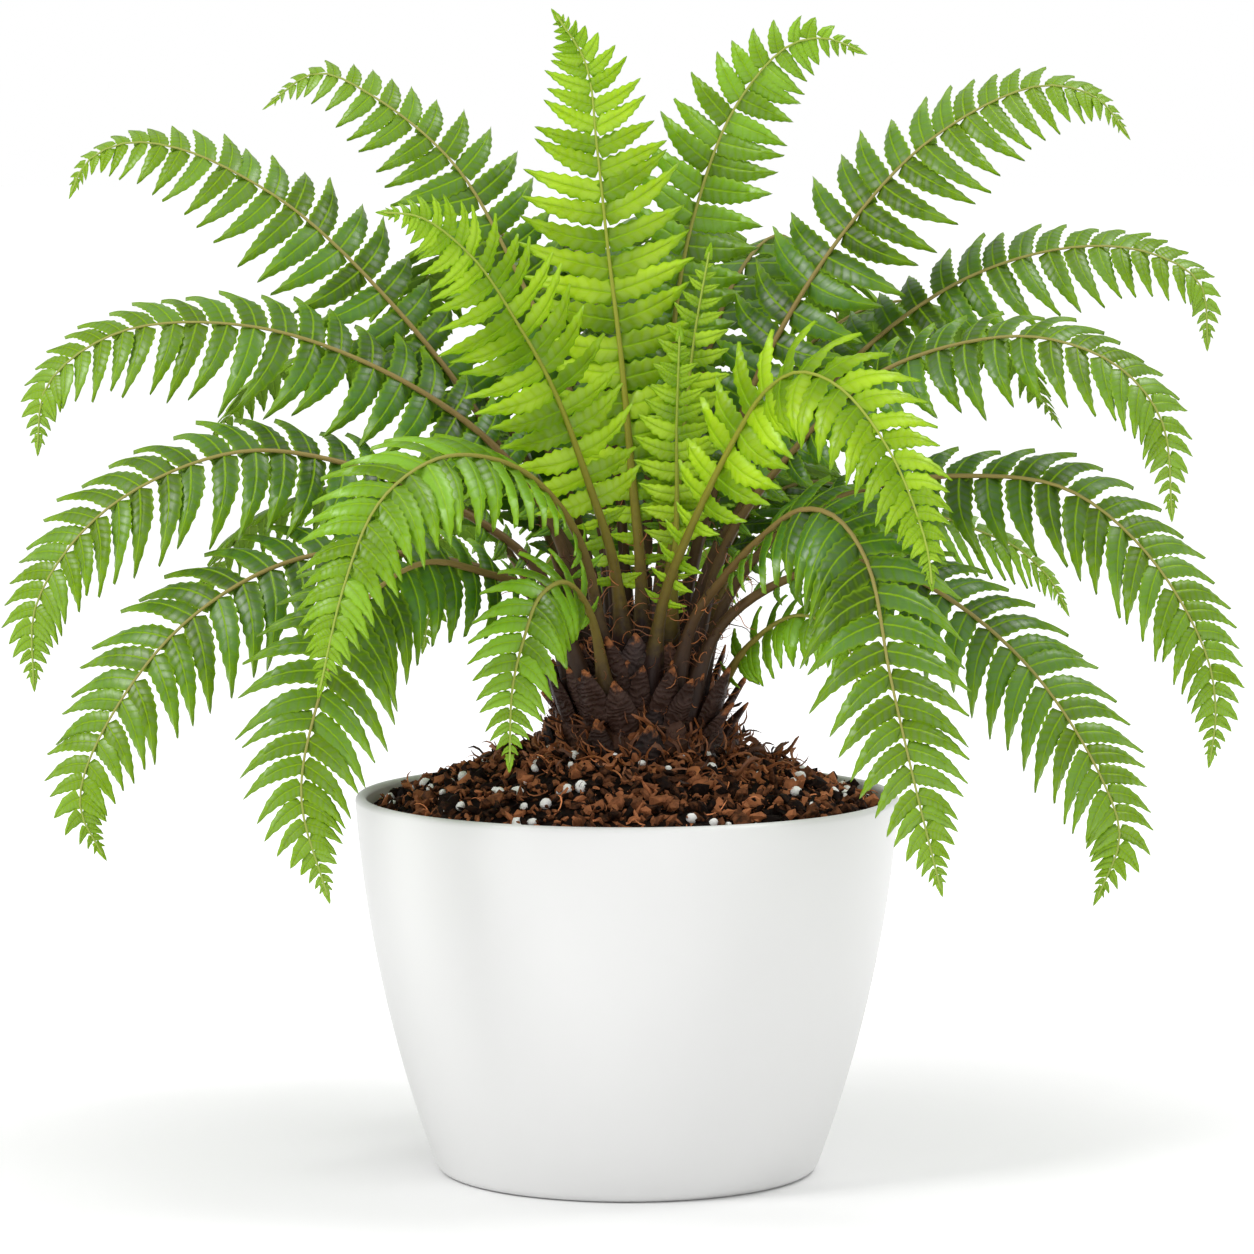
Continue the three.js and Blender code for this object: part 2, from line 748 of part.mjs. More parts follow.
const grownTrunk = toSolid(trunkGeometry(GAP));
const fronds = [...SHOWN_FRONDS, ...BACK_FRONDS.map(backFrond)];
const rachises = fronds.map((frond) => new Rachis(frond));
const stems = rachises.map((rachis) => boxedSolid(rachisGeometry(rachis)));
const holders = [potMesh, mixMesh, trunkMesh].map((mesh) => boxedSolid(mesh.geometry));
const leaves = [];
rachises.forEach((rachis, i) => {
  const tips = clearTips(rachis, stems[i], [...stems, ...holders], leaves);
  const frondSolid = toSolid(rachisGeometry(rachis, tips)).subtract(grownTrunk);
  fern.add(namedMesh(rachis.frond.name, toGeometry(frondSolid), FINISH[rachis.frond.age]));
});

export default fern;
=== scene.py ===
"""A potted silver lady fern: white pot, mounded potting mix, scaly trunk and a crown of arching fronds."""
import math
import random
from collections import namedtuple

import bmesh
import bpy
import numpy as np
from bpy.props import FloatProperty, FloatVectorProperty, IntProperty, PointerProperty
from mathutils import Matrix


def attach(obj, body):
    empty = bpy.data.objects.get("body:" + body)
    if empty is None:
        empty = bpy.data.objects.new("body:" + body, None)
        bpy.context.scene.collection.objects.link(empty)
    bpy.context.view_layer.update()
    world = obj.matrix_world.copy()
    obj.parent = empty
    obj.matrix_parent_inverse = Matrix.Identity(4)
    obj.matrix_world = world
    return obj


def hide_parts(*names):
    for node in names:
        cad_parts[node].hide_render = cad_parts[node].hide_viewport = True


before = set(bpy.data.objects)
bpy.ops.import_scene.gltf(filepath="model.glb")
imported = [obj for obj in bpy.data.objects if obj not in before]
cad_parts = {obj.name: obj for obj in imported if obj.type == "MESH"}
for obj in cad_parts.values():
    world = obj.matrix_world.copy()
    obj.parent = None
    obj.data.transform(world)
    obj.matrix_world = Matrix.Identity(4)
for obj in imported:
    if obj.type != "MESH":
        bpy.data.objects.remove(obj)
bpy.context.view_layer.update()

bl_info = {
    "name": "Potted silver lady fern",
    "version": (1, 0, 0),
    "blender": (4, 5, 0),
    "location": "View3D > Sidebar > Fern",
    "description": "Makes a silver lady fern in a white pot, piece by piece",
    "category": "Add Mesh",
}

MM = 0.001
FULL_TURN = 2 * math.pi
GOLDEN_ANGLE = math.radians(137.5)

# Sizes that the solids share with the looks, in millimetres
POT_HEIGHT = 139
RIM_RADIUS = 100
POT_WALL = 4.2
WALL_ARC_RADIUS = 492
RIM_LEAN = math.radians(4)
FOOT_CORNER = 5
FLOOR_THICKNESS = 5
DRAIN_RADIUS = 5
DRAIN_CIRCLE = 36
DRAIN_COUNT = 5
MIX_EDGE_HEIGHT = 132
MIX_TOP_HEIGHT = 156
MIX_PLATEAU_SHARE = 0.3
MIX_SLOPE_POWER = 1.25
TRUNK_OFFSET = 5
TRUNK_RADIUS = 28
TRUNK_TOP = 198
CROWN_EDGE_RADIUS = 25
CROWN_EDGE_DROP = 9
SKIRT_RADIUS = 36
SKIRT_HEIGHT = 158
STUMP_RADIUS = 30
STUMP_BOTTOM = 118

# Frond sizes
STIPE_RADIUS = 2.9
TIP_RADIUS = 0.4
STIPE_TAPER_POWER = 2.4
FOOT_SWELLING = 2.2
FOOT_SWELLING_LENGTH = 17
BLADE_END = 0.985
PAIR_CROWDING = 0.36
PINNA_FOOT_ANGLE = 80
PINNA_ANGLE_LOSS = 22
PINNA_DROOP = 0.3
NEW_PINNA_DROOP = 0.08
LEAST_DROOP = 0.2
LOWER_ROW_DROOP = 2.4
BLADE_SHARES = (0.65, 0.86, 0.97, 1, 0.79, 0.48, 0.05)

Frond = namedtuple("Frond", "name age route faces bare reach pairs")

# Routes in millimetres from the seat in the crown to the tip, as the solids have them.
# faces is the way the upper side looks, bare is the leafless share, reach is the longest leaflet.
SHOWN_FRONDS = (
    Frond("frond_crown_center", "new",
          ((6, -8, 188), (5, -7, 222), (2, -4, 255), (-2, 0, 298), (-7, 5, 339), (-11, 8, 376), (-15, 8, 406),
           (-26, 2, 424)),
          (0.05, -1, 0.25), 0.28, 32, 22),
    Frond("frond_top_right", "fresh",
          ((10, 5, 188), (13, 9, 225), (15, 14, 272), (18, 24, 316), (25, 34, 351), (40, 46, 390), (60, 54, 413),
           (74, 58, 416), (88, 60, 411)),
          (0.3, -0.9, 0.3), 0.3, 27, 22),
    Frond("frond_top_left", "mature",
          ((-1, 4, 188), (-9, 9, 242), (-21, 17, 286), (-42, 30, 332), (-64, 42, 369), (-94, 52, 394),
           (-116, 58, 403), (-135, 60, 391)),
          (-0.1, -0.6, 0.8), 0.28, 26, 22),
    Frond("frond_right_top", "mature",
          ((17, 0, 186), (26, 1, 232), (36, 4, 262), (51, 8, 299), (79, 12, 344), (112, 16, 379), (151, 20, 398),
           (172, 20, 394), (184, 20, 380)),
          (0, -0.55, 0.83), 0.27, 31, 24),
    Frond("frond_left_upper", "mature",
          ((-9, -1, 184), (-20, 2, 226), (-36, 5, 250), (-71, 18, 300), (-116, 30, 347), (-141, 36, 364),
           (-166, 40, 375), (-187, 44, 377), (-201, 45, 370), (-207, 45, 358)),
          (0, -0.55, 0.83), 0.27, 29, 24),
    Frond("frond_left_high", "mature",
          ((-12, -8, 184), (-27, -8, 238), (-49, -8, 268), (-89, -8, 295), (-137, -8, 311), (-184, -12, 309),
           (-210, -15, 290), (-214, -15, 266)),
          (0, -0.55, 0.83), 0.27, 31, 24),
    Frond("frond_left_mid", "mature",
          ((-14, -14, 180), (-32, -17, 222), (-57, -22, 243), (-106, -35, 264), (-142, -45, 267), (-186, -55, 247),
           (-210, -60, 214), (-211, -62, 185)),
          (0, -0.55, 0.83), 0.3, 30, 23),
    Frond("frond_left_low", "mature",
          ((-17, -17, 176), (-35, -26, 215), (-64, -40, 228), (-115, -62, 231), (-157, -78, 208), (-187, -88, 166),
           (-192, -90, 145), (-184, -90, 128)),
          (0, -0.6, 0.8), 0.3, 31, 22),
    Frond("frond_left_front", "mature",
          ((-14, -22, 176), (-27, -35, 212), (-51, -55, 225), (-73, -78, 230), (-95, -100, 214), (-109, -120, 177),
           (-112, -128, 152), (-103, -130, 119)),
          (0.1, -0.75, 0.65), 0.26, 30, 22),
    Frond("frond_front_left", "fresh",
          ((-7, -19, 184), (-16, -36, 232), (-29, -60, 255), (-45, -85, 267), (-66, -112, 269), (-85, -135, 255),
           (-96, -150, 228), (-104, -158, 193)),
          (0, -0.6, 0.8), 0.32, 27, 22),
    Frond("frond_front_left_small", "fresh",
          ((-6, -24, 170), (-13, -38, 208), (-22, -60, 222), (-31, -78, 218), (-36, -90, 205), (-40, -96, 188),
           (-41, -100, 162)),
          (0.1, -0.8, 0.6), 0.3, 20, 16),
    Frond("frond_lime_left", "new",
          ((0, -13, 188), (-5, -20, 226), (-13, -32, 253), (-26, -52, 290), (-39, -70, 315), (-53, -88, 337),
           (-71, -104, 352), (-84, -112, 354)),
          (0, -0.9, 0.4), 0.27, 28, 22),
    Frond("frond_lime_right", "new",
          ((8, -20, 178), (13, -30, 212), (20, -40, 233), (38, -62, 273), (49, -76, 291), (60, -88, 298),
           (74, -100, 293), (91, -114, 271), (103, -120, 240), (105, -121, 226)),
          (0, -0.75, 0.65), 0.3, 27, 22),
    Frond("frond_right_upper", "mature",
          ((20, -6, 184), (31, -2, 226), (50, 4, 256), (82, 10, 297), (123, 14, 327), (163, 16, 339),
           (192, 14, 337), (210, 12, 326), (213, 10, 303)),
          (0, -0.55, 0.83), 0.3, 26, 24),
    Frond("frond_right_mid", "mature",
          ((22, -11, 180), (36, -15, 232), (59, -20, 265), (89, -30, 294), (124, -40, 307), (150, -48, 308),
           (175, -52, 298), (190, -55, 279), (194, -55, 245)),
          (0, -0.5, 0.87), 0.3, 26, 23),
    Frond("frond_right_lower", "mature",
          ((24, -17, 174), (37, -22, 214), (59, -27, 240), (87, -36, 254), (121, -46, 259), (156, -55, 255),
           (184, -62, 233), (205, -66, 198), (209, -66, 176), (207, -66, 158)),
          (0, -0.55, 0.83), 0.3, 28, 24),
    Frond("frond_right_low", "mature",
          ((21, -22, 172), (34, -31, 204), (58, -43, 222), (86, -60, 229), (116, -78, 216), (144, -92, 191),
           (166, -100, 156), (172, -102, 136), (164, -102, 114)),
          (0, -0.6, 0.8), 0.32, 28, 22),
    Frond("frond_front_right", "mature",
          ((16, -21, 173), (24, -34, 206), (35, -48, 223), (46, -66, 237), (61, -90, 250), (73, -106, 248),
           (83, -120, 233), (90, -138, 196), (99, -148, 156), (107, -150, 124)),
          (0, -0.7, 0.7), 0.32, 30, 22),
    Frond("frond_right_back", "fresh",
          ((25, 9, 174), (37, 17, 218), (57, 30, 236), (87, 55, 243), (115, 75, 237), (133, 85, 230),
           (150, 92, 222), (163, 96, 209), (169, 97, 198)),
          (0, -0.5, 0.87), 0.3, 23, 22),
    Frond("frond_right_small", "fresh",
          ((26, -9, 164), (44, -26, 196), (62, -46, 209), (77, -62, 202), (83, -70, 182)),
          (0, -0.7, 0.7), 0.25, 17, 13),
    Frond("frond_young_tall", "new",
          ((12, -3, 190), (18, -5, 245), (22, -4, 285), (25, -2, 310), (30, 0, 338)),
          (0, -1, 0.3), 0.35, 15, 14),
    Frond("frond_young_short", "new",
          ((15, -10, 188), (18, -13, 240), (18, -16, 275), (19, -17, 308)),
          (0, -1, 0.3), 0.35, 15, 13),
)

# Fronds behind the crown: bearing turns from +X towards +Y, seat and span are distances from the trunk's
# axis, apex and tip are heights.
BackFrond = namedtuple("BackFrond", "name bearing seat span apex tip reach")
BACK_FRONDS = (
    BackFrond("frond_back_upper_1", 30, 12, 185, 318, 270, 29),
    BackFrond("frond_back_upper_2", 60, 15, 176, 342, 258, 32),
    BackFrond("frond_back_upper_3", 84, 13, 186, 352, 276, 32),
    BackFrond("frond_back_upper_4", 104, 15, 190, 338, 250, 32),
    BackFrond("frond_back_upper_5", 126, 14, 170, 346, 268, 32),
    BackFrond("frond_back_upper_6", 150, 17, 190, 303, 264, 29),
    BackFrond("frond_back_lower_1", 43, 22, 150, 250, 200, 27),
    BackFrond("frond_back_lower_2", 60, 21, 166, 262, 184, 29),
    BackFrond("frond_back_lower_3", 80, 22, 196, 268, 186, 30),
    BackFrond("frond_back_lower_4", 97, 22, 200, 262, 164, 30),
    BackFrond("frond_back_lower_5", 117, 21, 190, 270, 176, 30),
    BackFrond("frond_back_lower_6", 138, 22, 158, 258, 182, 29),
    BackFrond("frond_back_lower_7", 165, 22, 175, 252, 205, 27),
)
OUTER_SEAT_RADIUS = 20
OUTER_SEAT_HEIGHT = 174
INNER_SEAT_HEIGHT = 182
BACK_BARE = 0.28
BACK_PAIRS = 20


# Settings

def colour_setting(name, description, default):
    return FloatVectorProperty(name=name, description=description, subtype="COLOR", size=3, min=0, max=1,
                               default=default)


def length_setting(name, description, default):
    return FloatProperty(name=name, description=description, unit="LENGTH", subtype="DISTANCE", default=default)


class PotSettings(bpy.types.PropertyGroup):
    """The pot's finish"""
    shell: colour_setting("Shell", "Colour of the white plastic", (0.745, 0.745, 0.74))
    roughness: FloatProperty(name="Roughness", description="How matt the plastic is", default=0.38, min=0, max=1)
    turns: IntProperty(name="Turns", description="Faces around the pot", default=160, min=32, max=256)


class MixSettings(bpy.types.PropertyGroup):
    """What the potting mix holds"""
    chips: IntProperty(name="Bark chips", description="Loose chips on the mound", default=3600, min=0)
    strands: IntProperty(name="Coir strands", description="Curly strands on the mound", default=190, min=0)
    beads: IntProperty(name="Perlite beads", description="White beads on the mound", default=98, min=0)
    relief: length_setting("Relief", "Height of the mound's lumps", 0.003)
    dark: colour_setting("Dark bark", "Darkest colour of the mix", (0.007, 0.003, 0.002))
    rust: colour_setting("Rusty bark", "Brightest colour of the mix", (0.420, 0.155, 0.065))


class TrunkSettings(bpy.types.PropertyGroup):
    """The trunk's scales and fibres"""
    scales: IntProperty(name="Leaf bases", description="Old leaf bases around the trunk", default=72, min=0)
    shreds: IntProperty(name="Shreds", description="Rusty shreds around the trunk's foot", default=620, min=0)
    fibres: IntProperty(name="Fibres", description="Rusty fibres in the crown", default=760, min=0)
    dark: colour_setting("Dark bark", "Main colour of the leaf bases", (0.008, 0.004, 0.004))
    # Greyer colour for wear, also used as a painted grey sheen on the leaf bases
    worn: colour_setting("Worn bark", "Greyer colour of their worn backs", (0.090, 0.058, 0.052))
    rust: colour_setting("Rust", "Colour of the fibres", (0.50, 0.170, 0.050))


class FrondSettings(bpy.types.PropertyGroup):
    """The leaflets' shape and colours"""
    leaflet_lobes: IntProperty(name="Lobes", description="Teeth along each side of a full leaflet",
                               default=8, min=5, max=12)
    thickness: FloatProperty(name="Thickness", description="Leaflet thickness at its midrib, as a share of width",
                             default=0.035, min=0.005, max=0.2)
    mature: colour_setting("Mature", "Colour of a mature leaflet", (0.036, 0.128, 0.004))
    fresh: colour_setting("Fresh", "Colour of a fresh leaflet", (0.170, 0.370, 0.008))
    new: colour_setting("New", "Colour of a new leaflet", (0.460, 0.770, 0.012))
    tip: colour_setting("Tip", "Colour towards every frond's tip", (0.380, 0.650, 0.013))


class StageSettings(bpy.types.PropertyGroup):
    """Camera, floor and light"""
    distance: length_setting("Distance", "Camera distance from the pot's axis", 2.0)
    height: length_setting("Height", "Camera height above the floor", 0.385)
    pitch: FloatProperty(name="Pitch", description="How far the camera looks down", default=math.radians(5.27),
                         unit="ROTATION", subtype="ANGLE")
    lens: FloatProperty(name="Lens", description="Focal length in millimetres", default=157.3, unit="CAMERA")
    sky: FloatProperty(name="Sky", description="Brightness of the white surroundings", default=0.70)
    key: FloatProperty(name="Key", description="Power of the upper left light, in watts", default=19.0)
    top: FloatProperty(name="Top", description="Power of the upper right light, in watts", default=12.0)
    front: FloatProperty(name="Front", description="Power of the front light, in watts", default=2.5)


# Shader nodes

class Socket:
    """A socket's value in a shader expression: arithmetic on it adds Math nodes"""

    def __init__(self, shade, socket):
        self.shade = shade
        self.socket = socket

    def math(self, operation, *values):
        inputs = {str(i): value for i, value in enumerate(values)}
        return self.shade.node("ShaderNodeMath", {"operation": operation}, **inputs)

    def __add__(self, other):
        return self.math("ADD", self, other)

    __radd__ = __add__

    def __mul__(self, other):
        return self.math("MULTIPLY", self, other)

    def __sub__(self, other):
        return self.math("SUBTRACT", self, other)

    def __rsub__(self, other):
        return self.math("SUBTRACT", other, self)

    def __pow__(self, other):
        return self.math("POWER", self, other)

    def __abs__(self):
        return self.math("ABSOLUTE", self)

    def sine(self):
        return self.math("SINE", self)

    def step(self, low, high):
        """0 below low and 1 above high, smooth between them"""
        return self.shade.node("ShaderNodeMapRange", {"interpolation_type": "SMOOTHSTEP"}, "Result",
                               **{"Value": self, "From Min": low, "From Max": high})


class Shade:
    """One material's node tree"""
    NOISE_ROUGHNESS = 0.55

    def __init__(self, name):
        self.material = bpy.data.materials.new(name)
        self.material.use_nodes = True
        self.tree = self.material.node_tree
        self.tree.nodes.clear()
        self.place = self.node("ShaderNodeTexCoord", output="Object")

    def node(self, kind, settings=None, output=0, **inputs):
        """Adds a node, sets it, feeds its inputs by name or number, and gives one output"""
        node = self.tree.nodes.new(kind)
        for key, value in (settings or {}).items():
            if key == "stops":
                self.set_stops(node.color_ramp, value)
            else:
                setattr(node, key, value)
        for key, value in inputs.items():
            name = key.replace("_", " ")
            socket = node.inputs[int(name)] if name.isdigit() else self.find_input(node, name)
            if isinstance(value, Socket):
                self.tree.links.new(value.socket, socket)
            elif socket.type == "RGBA" and len(value) == 3:
                socket.default_value = (*value, 1)
            else:
                socket.default_value = value
        return Socket(self, node.outputs[output])

    @staticmethod
    def find_input(node, name):
        """The enabled input of that name, as a Mix node has one for each kind of data"""
        return next(socket for socket in node.inputs if socket.name == name and socket.enabled)

    @staticmethod
    def set_stops(ramp, stops):
        """A colour ramp's places and colours"""
        while len(ramp.elements) < len(stops):
            ramp.elements.new(1)
        for element, (place, colour) in zip(ramp.elements, stops):
            element.position = place
            element.color = (*colour, 1)

    def noise(self, scale, detail):
        """Soft noise fixed to the object, around 0.5"""
        return self.node("ShaderNodeTexNoise", Vector=self.place, Scale=scale, Detail=detail,
                         Roughness=self.NOISE_ROUGHNESS)

    def blend(self, share, first, second):
        """A colour between two colours"""
        return self.node("ShaderNodeMix", {"data_type": "RGBA"}, output=2, Factor=share, A=first, B=second)

    def split(self, kind, value):
        """The three parts of a colour or a place"""
        node = self.tree.nodes.new(kind)
        self.tree.links.new(value.socket, node.inputs[0])
        return [Socket(self, output) for output in node.outputs]

    def tone(self):
        """The mesh's own three values, the same all over one copy"""
        own = self.node("ShaderNodeAttribute", {"attribute_name": "tone"}, output="Color")
        return self.split("ShaderNodeSeparateColor", own)

    def grain(self):
        """Place along and across a copy, both from 0 to 1"""
        return self.split("ShaderNodeSeparateXYZ", self.node("ShaderNodeUVMap", {"uv_map": "grain"}))[:2]

    def bump(self, height, strength, distance):
        return self.node("ShaderNodeBump", Height=height, Strength=strength, Distance=distance)

    def principled(self, **inputs):
        return self.node("ShaderNodeBsdfPrincipled", **inputs)

    def surface(self, shader):
        """Ends the tree and gives the material"""
        output = self.tree.nodes.new("ShaderNodeOutputMaterial")
        self.tree.links.new(shader.socket, output.inputs["Surface"])
        return self.material


def scaled(colour, factor):
    """A lighter or darker colour, at most white"""
    return tuple(min(1.0, channel * factor) for channel in colour[:3])


def shell_material(colour, roughness):
    """Smooth moulded white plastic"""
    shade = Shade("pot_plastic")
    cloud = shade.noise(18.0, 2.0)
    base = shade.blend(cloud, scaled(colour, 0.975), scaled(colour, 1.02))
    normal = shade.bump(shade.noise(2600.0, 1.0), 0.06, 0.0002)
    return shade.surface(shade.principled(Base_Color=base, Roughness=roughness + (cloud - 0.5) * 0.10,
                                          Normal=normal))


def mix_material(name, dark, rust, spread):
    """Damp bark and coir: each chip has its own tone"""
    shade = Shade(name)
    mottle = shade.noise(420.0, 4.0)
    share = (shade.tone()[0] * spread + (mottle - 0.45) * 0.9).step(0.05, 1.0)
    normal = shade.bump(shade.noise(1500.0, 3.0), 0.5, 0.0006)
    return shade.surface(shade.principled(Base_Color=shade.blend(share, dark, rust), Normal=normal,
                                          Roughness=0.55 + mottle * 0.4, Specular_IOR_Level=0.10))


def perlite_material():
    """Chalky white beads with a little brown dust"""
    shade = Shade("perlite")
    dust = shade.noise(380.0, 3.0).step(0.6, 0.85)
    base = shade.blend(dust * 0.7, (0.95, 0.94, 0.92), (0.55, 0.44, 0.34))
    normal = shade.bump(shade.noise(1400.0, 3.0), 0.6, 0.0005)
    return shade.surface(shade.principled(Base_Color=base, Roughness=0.8, Normal=normal))


def bark_material(dark, worn, rust):
    """Old leaf bases: dark, with a greyer colour for wear that is also a painted grey sheen, fine cross wrinkles
    and rusty edges
    """
    shade = Shade("leaf_base_bark")
    own, rusty, _ = shade.tone()
    along, across = shade.grain()
    mottle = shade.noise(260.0, 4.0)
    curve = (across - 0.5) * (across - 0.5)
    warp = shade.noise(120.0, 2.0)
    wrinkle = (along * 70.0 - curve * 60.0 + mottle * 9.0 + warp * 26.0).sine() * 0.5 + 0.5
    # Painted sheen: the greyer colour for wear and sheen is mixed into the dark bark by noise and the wrinkles
    bark = shade.blend((own * 0.5 + mottle * 0.9 + wrinkle * 0.12).step(0.5, 1.3), dark, worn)
    edge = (along + (mottle - 0.5) * 0.6).step(0.86, 1.0)
    base = shade.blend(edge * 0.6 + rusty * 0.6, bark, rust)
    height = wrinkle * 0.30 + mottle * 1.2 + shade.noise(1500.0, 2.0) * 0.3
    return shade.surface(shade.principled(Base_Color=base, Normal=shade.bump(height, 0.8, 0.0010),
                                          Roughness=0.34 + mottle * 0.3, Specular_IOR_Level=0.16))


def fibre_material(rust, dark):
    """Curly scales and fibres"""
    shade = Shade("rusty_fibre")
    share = shade.tone()[0] + shade.noise(500.0, 2.0) * 0.4 - 0.2
    return shade.surface(shade.principled(Base_Color=shade.blend(share, dark, rust), Roughness=0.55))


# Stalk colours by place along the frond
OLD_STALK_STOPS = ((0.0, (0.020, 0.009, 0.007)), (0.10, (0.050, 0.024, 0.010)), (0.24, (0.120, 0.070, 0.016)),
                   (0.45, (0.250, 0.180, 0.050)), (0.80, (0.300, 0.300, 0.070)), (1.0, (0.280, 0.400, 0.060)))
NEW_STALK_STOPS = ((0.05, (0.026, 0.011, 0.008)), (0.15, (0.130, 0.090, 0.010)),
                   (0.40, (0.270, 0.260, 0.020)), (1.0, (0.340, 0.460, 0.060)))


def stalk_material():
    """Stipe and rachis: dark brown at the foot, olive above it and yellow-green towards the tip"""
    shade = Shade("frond_stalk")
    mottle = shade.noise(300.0, 3.0)
    place = shade.grain()[0] + (mottle - 0.5) * 0.12
    old, new = (shade.node("ShaderNodeValToRGB", {"stops": stops}, Fac=place)
                for stops in (OLD_STALK_STOPS, NEW_STALK_STOPS))
    normal = shade.bump(shade.noise(900.0, 2.0), 0.25, 0.0005)
    return shade.surface(shade.principled(Base_Color=shade.blend(shade.tone()[1], old, new), Normal=normal,
                                          Roughness=0.45 + mottle * 0.2, Specular_IOR_Level=0.3))


def leaflet_material(name, colour, tip, lobes, thin, under):
    """A glossy puffed leaflet that lets some light through; its underside is paler and matt"""
    shade = Shade(name)
    along, across = shade.grain()
    own, youth, _ = shade.tone()
    out = abs(across - 0.5) * 2.0
    patch = shade.noise(60.0, 3.0)
    fine = shade.noise(800.0, 3.0)
    puff = abs(((along * lobes - out * 0.6) * math.pi).sine())
    midrib = 1.0 - out.step(0.02, 0.13)
    groove = 1.0 - out.step(0.0, 0.2)
    margin = out.step(0.7, 1.0)
    ends = along.step(0.55, 1.0)

    # Random tone plus painted shade: each leaflet is darkened towards its foot at the rachis, down to a third of
    # its colour
    depth = (own * 0.45 + patch * 0.6 + along * 0.4).step(0.25, 1.1)
    deep = shade.blend(depth, scaled(colour, 0.32), scaled(colour, 1.6))
    ribbed = shade.blend((1.0 - puff) ** 2.0 * 0.14, deep, tip)
    edged = shade.blend(margin * 0.38 + ends * 0.46, ribbed, tip)
    veined = shade.blend(midrib * 0.45, edged, scaled(tip, 1.3))
    green = shade.blend(youth, veined, tip)
    if under:
        green = shade.blend(0.35, green, (0.26, 0.40, 0.08))

    sheen = (puff * 0.55 + patch * 1.3 + own * 0.25).step(0.70, 1.35) * (1.0 - margin) * (1.0 - midrib)
    height = out * (1.0 - out) * 3.0 + puff * 0.11 - groove * 0.35 + fine * 0.05 + patch * 0.8
    normal = shade.bump(height, 0.7, -0.0004 if under else 0.0009)
    gloss = shade.principled(Base_Color=green, Roughness=(0.6 if under else 0.30) + fine * 0.12, Normal=normal,
                             Coat_Weight=0.0 if under else sheen, Coat_Roughness=0.38, Coat_IOR=1.6,
                             Specular_IOR_Level=0.12 if under else 0.25, Specular_Tint=(0.90, 1.0, 0.62))
    glow = tuple((a + b) / 2 for a, b in zip(scaled(tip, 1.2), colour))
    through = shade.node("ShaderNodeBsdfTranslucent", Color=glow)
    return shade.surface(shade.node("ShaderNodeMixShader", **{"0": thin, "1": gloss, "2": through}))


def floor_material():
    """Pale studio floor with painted light: it glows more and more away from the object, fading to pure white"""
    shade = Shade("studio_floor")
    away = shade.node("ShaderNodeVectorMath", {"operation": "LENGTH"}, output="Value", **{"0": shade.place})
    glow = shade.blend(away.step(0.08, 0.55), (0, 0, 0), (1, 1, 1))
    return shade.surface(shade.principled(Base_Color=(0.92, 0.92, 0.92), Roughness=0.7,
                                          Emission_Color=glow, Emission_Strength=0.44))


# Modelling helpers

def object_mode():
    if bpy.context.object and bpy.context.object.mode != "OBJECT":
        bpy.ops.object.mode_set(mode="OBJECT")


def edit_all():
    """Edit mode with the whole mesh selected"""
    bpy.ops.object.mode_set(mode="EDIT")
    bpy.ops.mesh.select_all(action="SELECT")


def deselect_all():
    object_mode()
    bpy.ops.object.select_all(action="DESELECT")


def activate(obj):
    """Selects one object and makes it the active one"""
    deselect_all()
    obj.select_set(True)
    bpy.context.view_layer.objects.active = obj
    return obj


def name_piece(obj, name):
    obj.name = name
    obj.data.name = name
    return obj


def apply_place(obj):
    activate(obj)
    bpy.ops.object.transform_apply(location=True, rotation=True, scale=True)
    return obj


def apply_modifier(obj, modifier):
    activate(obj)
    bpy.ops.object.modifier_apply(modifier=modifier.name)


def smooth(obj, angle):
    """Smooth shading but for edges sharper than an angle in degrees"""
    activate(obj)
    bpy.ops.object.shade_smooth_by_angle(angle=math.radians(angle))
    return obj


def outward_normals(obj):
    activate(obj)
    edit_all()
    bpy.ops.mesh.normals_make_consistent(inside=False)
    object_mode()


def select_by(obj, test):
    """In edit mode, selects just the vertices that pass the test"""
    bpy.ops.mesh.select_mode(type="VERT")
    bpy.ops.mesh.select_all(action="DESELECT")
    mesh = bmesh.from_edit_mesh(obj.data)
    for vertex in mesh.verts:
        if test(vertex):
            vertex.select_set(True)
    mesh.select_flush_mode()
    bmesh.update_edit_mesh(obj.data)


def extrude_step(move, ratio):
    """Extrudes the selected faces by a move and narrows their new end"""
    bpy.ops.mesh.extrude_region_move(TRANSFORM_OT_translate={"value": move})
    bpy.ops.transform.resize(value=(ratio, ratio, 1))


def ring_stack(name, rings, sides, centre=(0, 0)):
    """A closed turned body: a circle extruded from ring to ring, each a radius and a height in millimetres"""
    deselect_all()
    first_radius, first_height = rings[0]
    bpy.ops.mesh.primitive_circle_add(vertices=sides, radius=first_radius * MM, fill_type="NGON",
                                      location=(centre[0] * MM, centre[1] * MM, first_height * MM))
    obj = name_piece(bpy.context.object, name)
    bpy.ops.object.mode_set(mode="EDIT")
    bpy.ops.mesh.select_mode(type="FACE")
    bpy.ops.mesh.select_all(action="SELECT")
    for (radius, height), (next_radius, next_height) in zip(rings, rings[1:]):
        extrude_step((0, 0, (next_height - height) * MM), next_radius / radius)
    object_mode()
    apply_place(obj)
    outward_normals(obj)
    return obj


def set_tone(mesh, colours):
    """Gives the mesh its tone attribute, four values a vertex"""
    tone = mesh.attributes.new("tone", "FLOAT_COLOR", "POINT")
    tone.data.foreach_set("color", np.asarray(colours, float).ravel())


def remove(obj):
    mesh = obj.data
    bpy.data.objects.remove(obj)
    bpy.data.meshes.remove(mesh)


def pattern_of(obj):
    """The vertices, faces and faces' material numbers of a modelled piece that is copied many times"""
    vertices = np.array([vertex.co[:] for vertex in obj.data.vertices])
    faces = [tuple(face.vertices) for face in obj.data.polygons]
    slots = [face.material_index for face in obj.data.polygons]
    remove(obj)
    return vertices, faces, slots


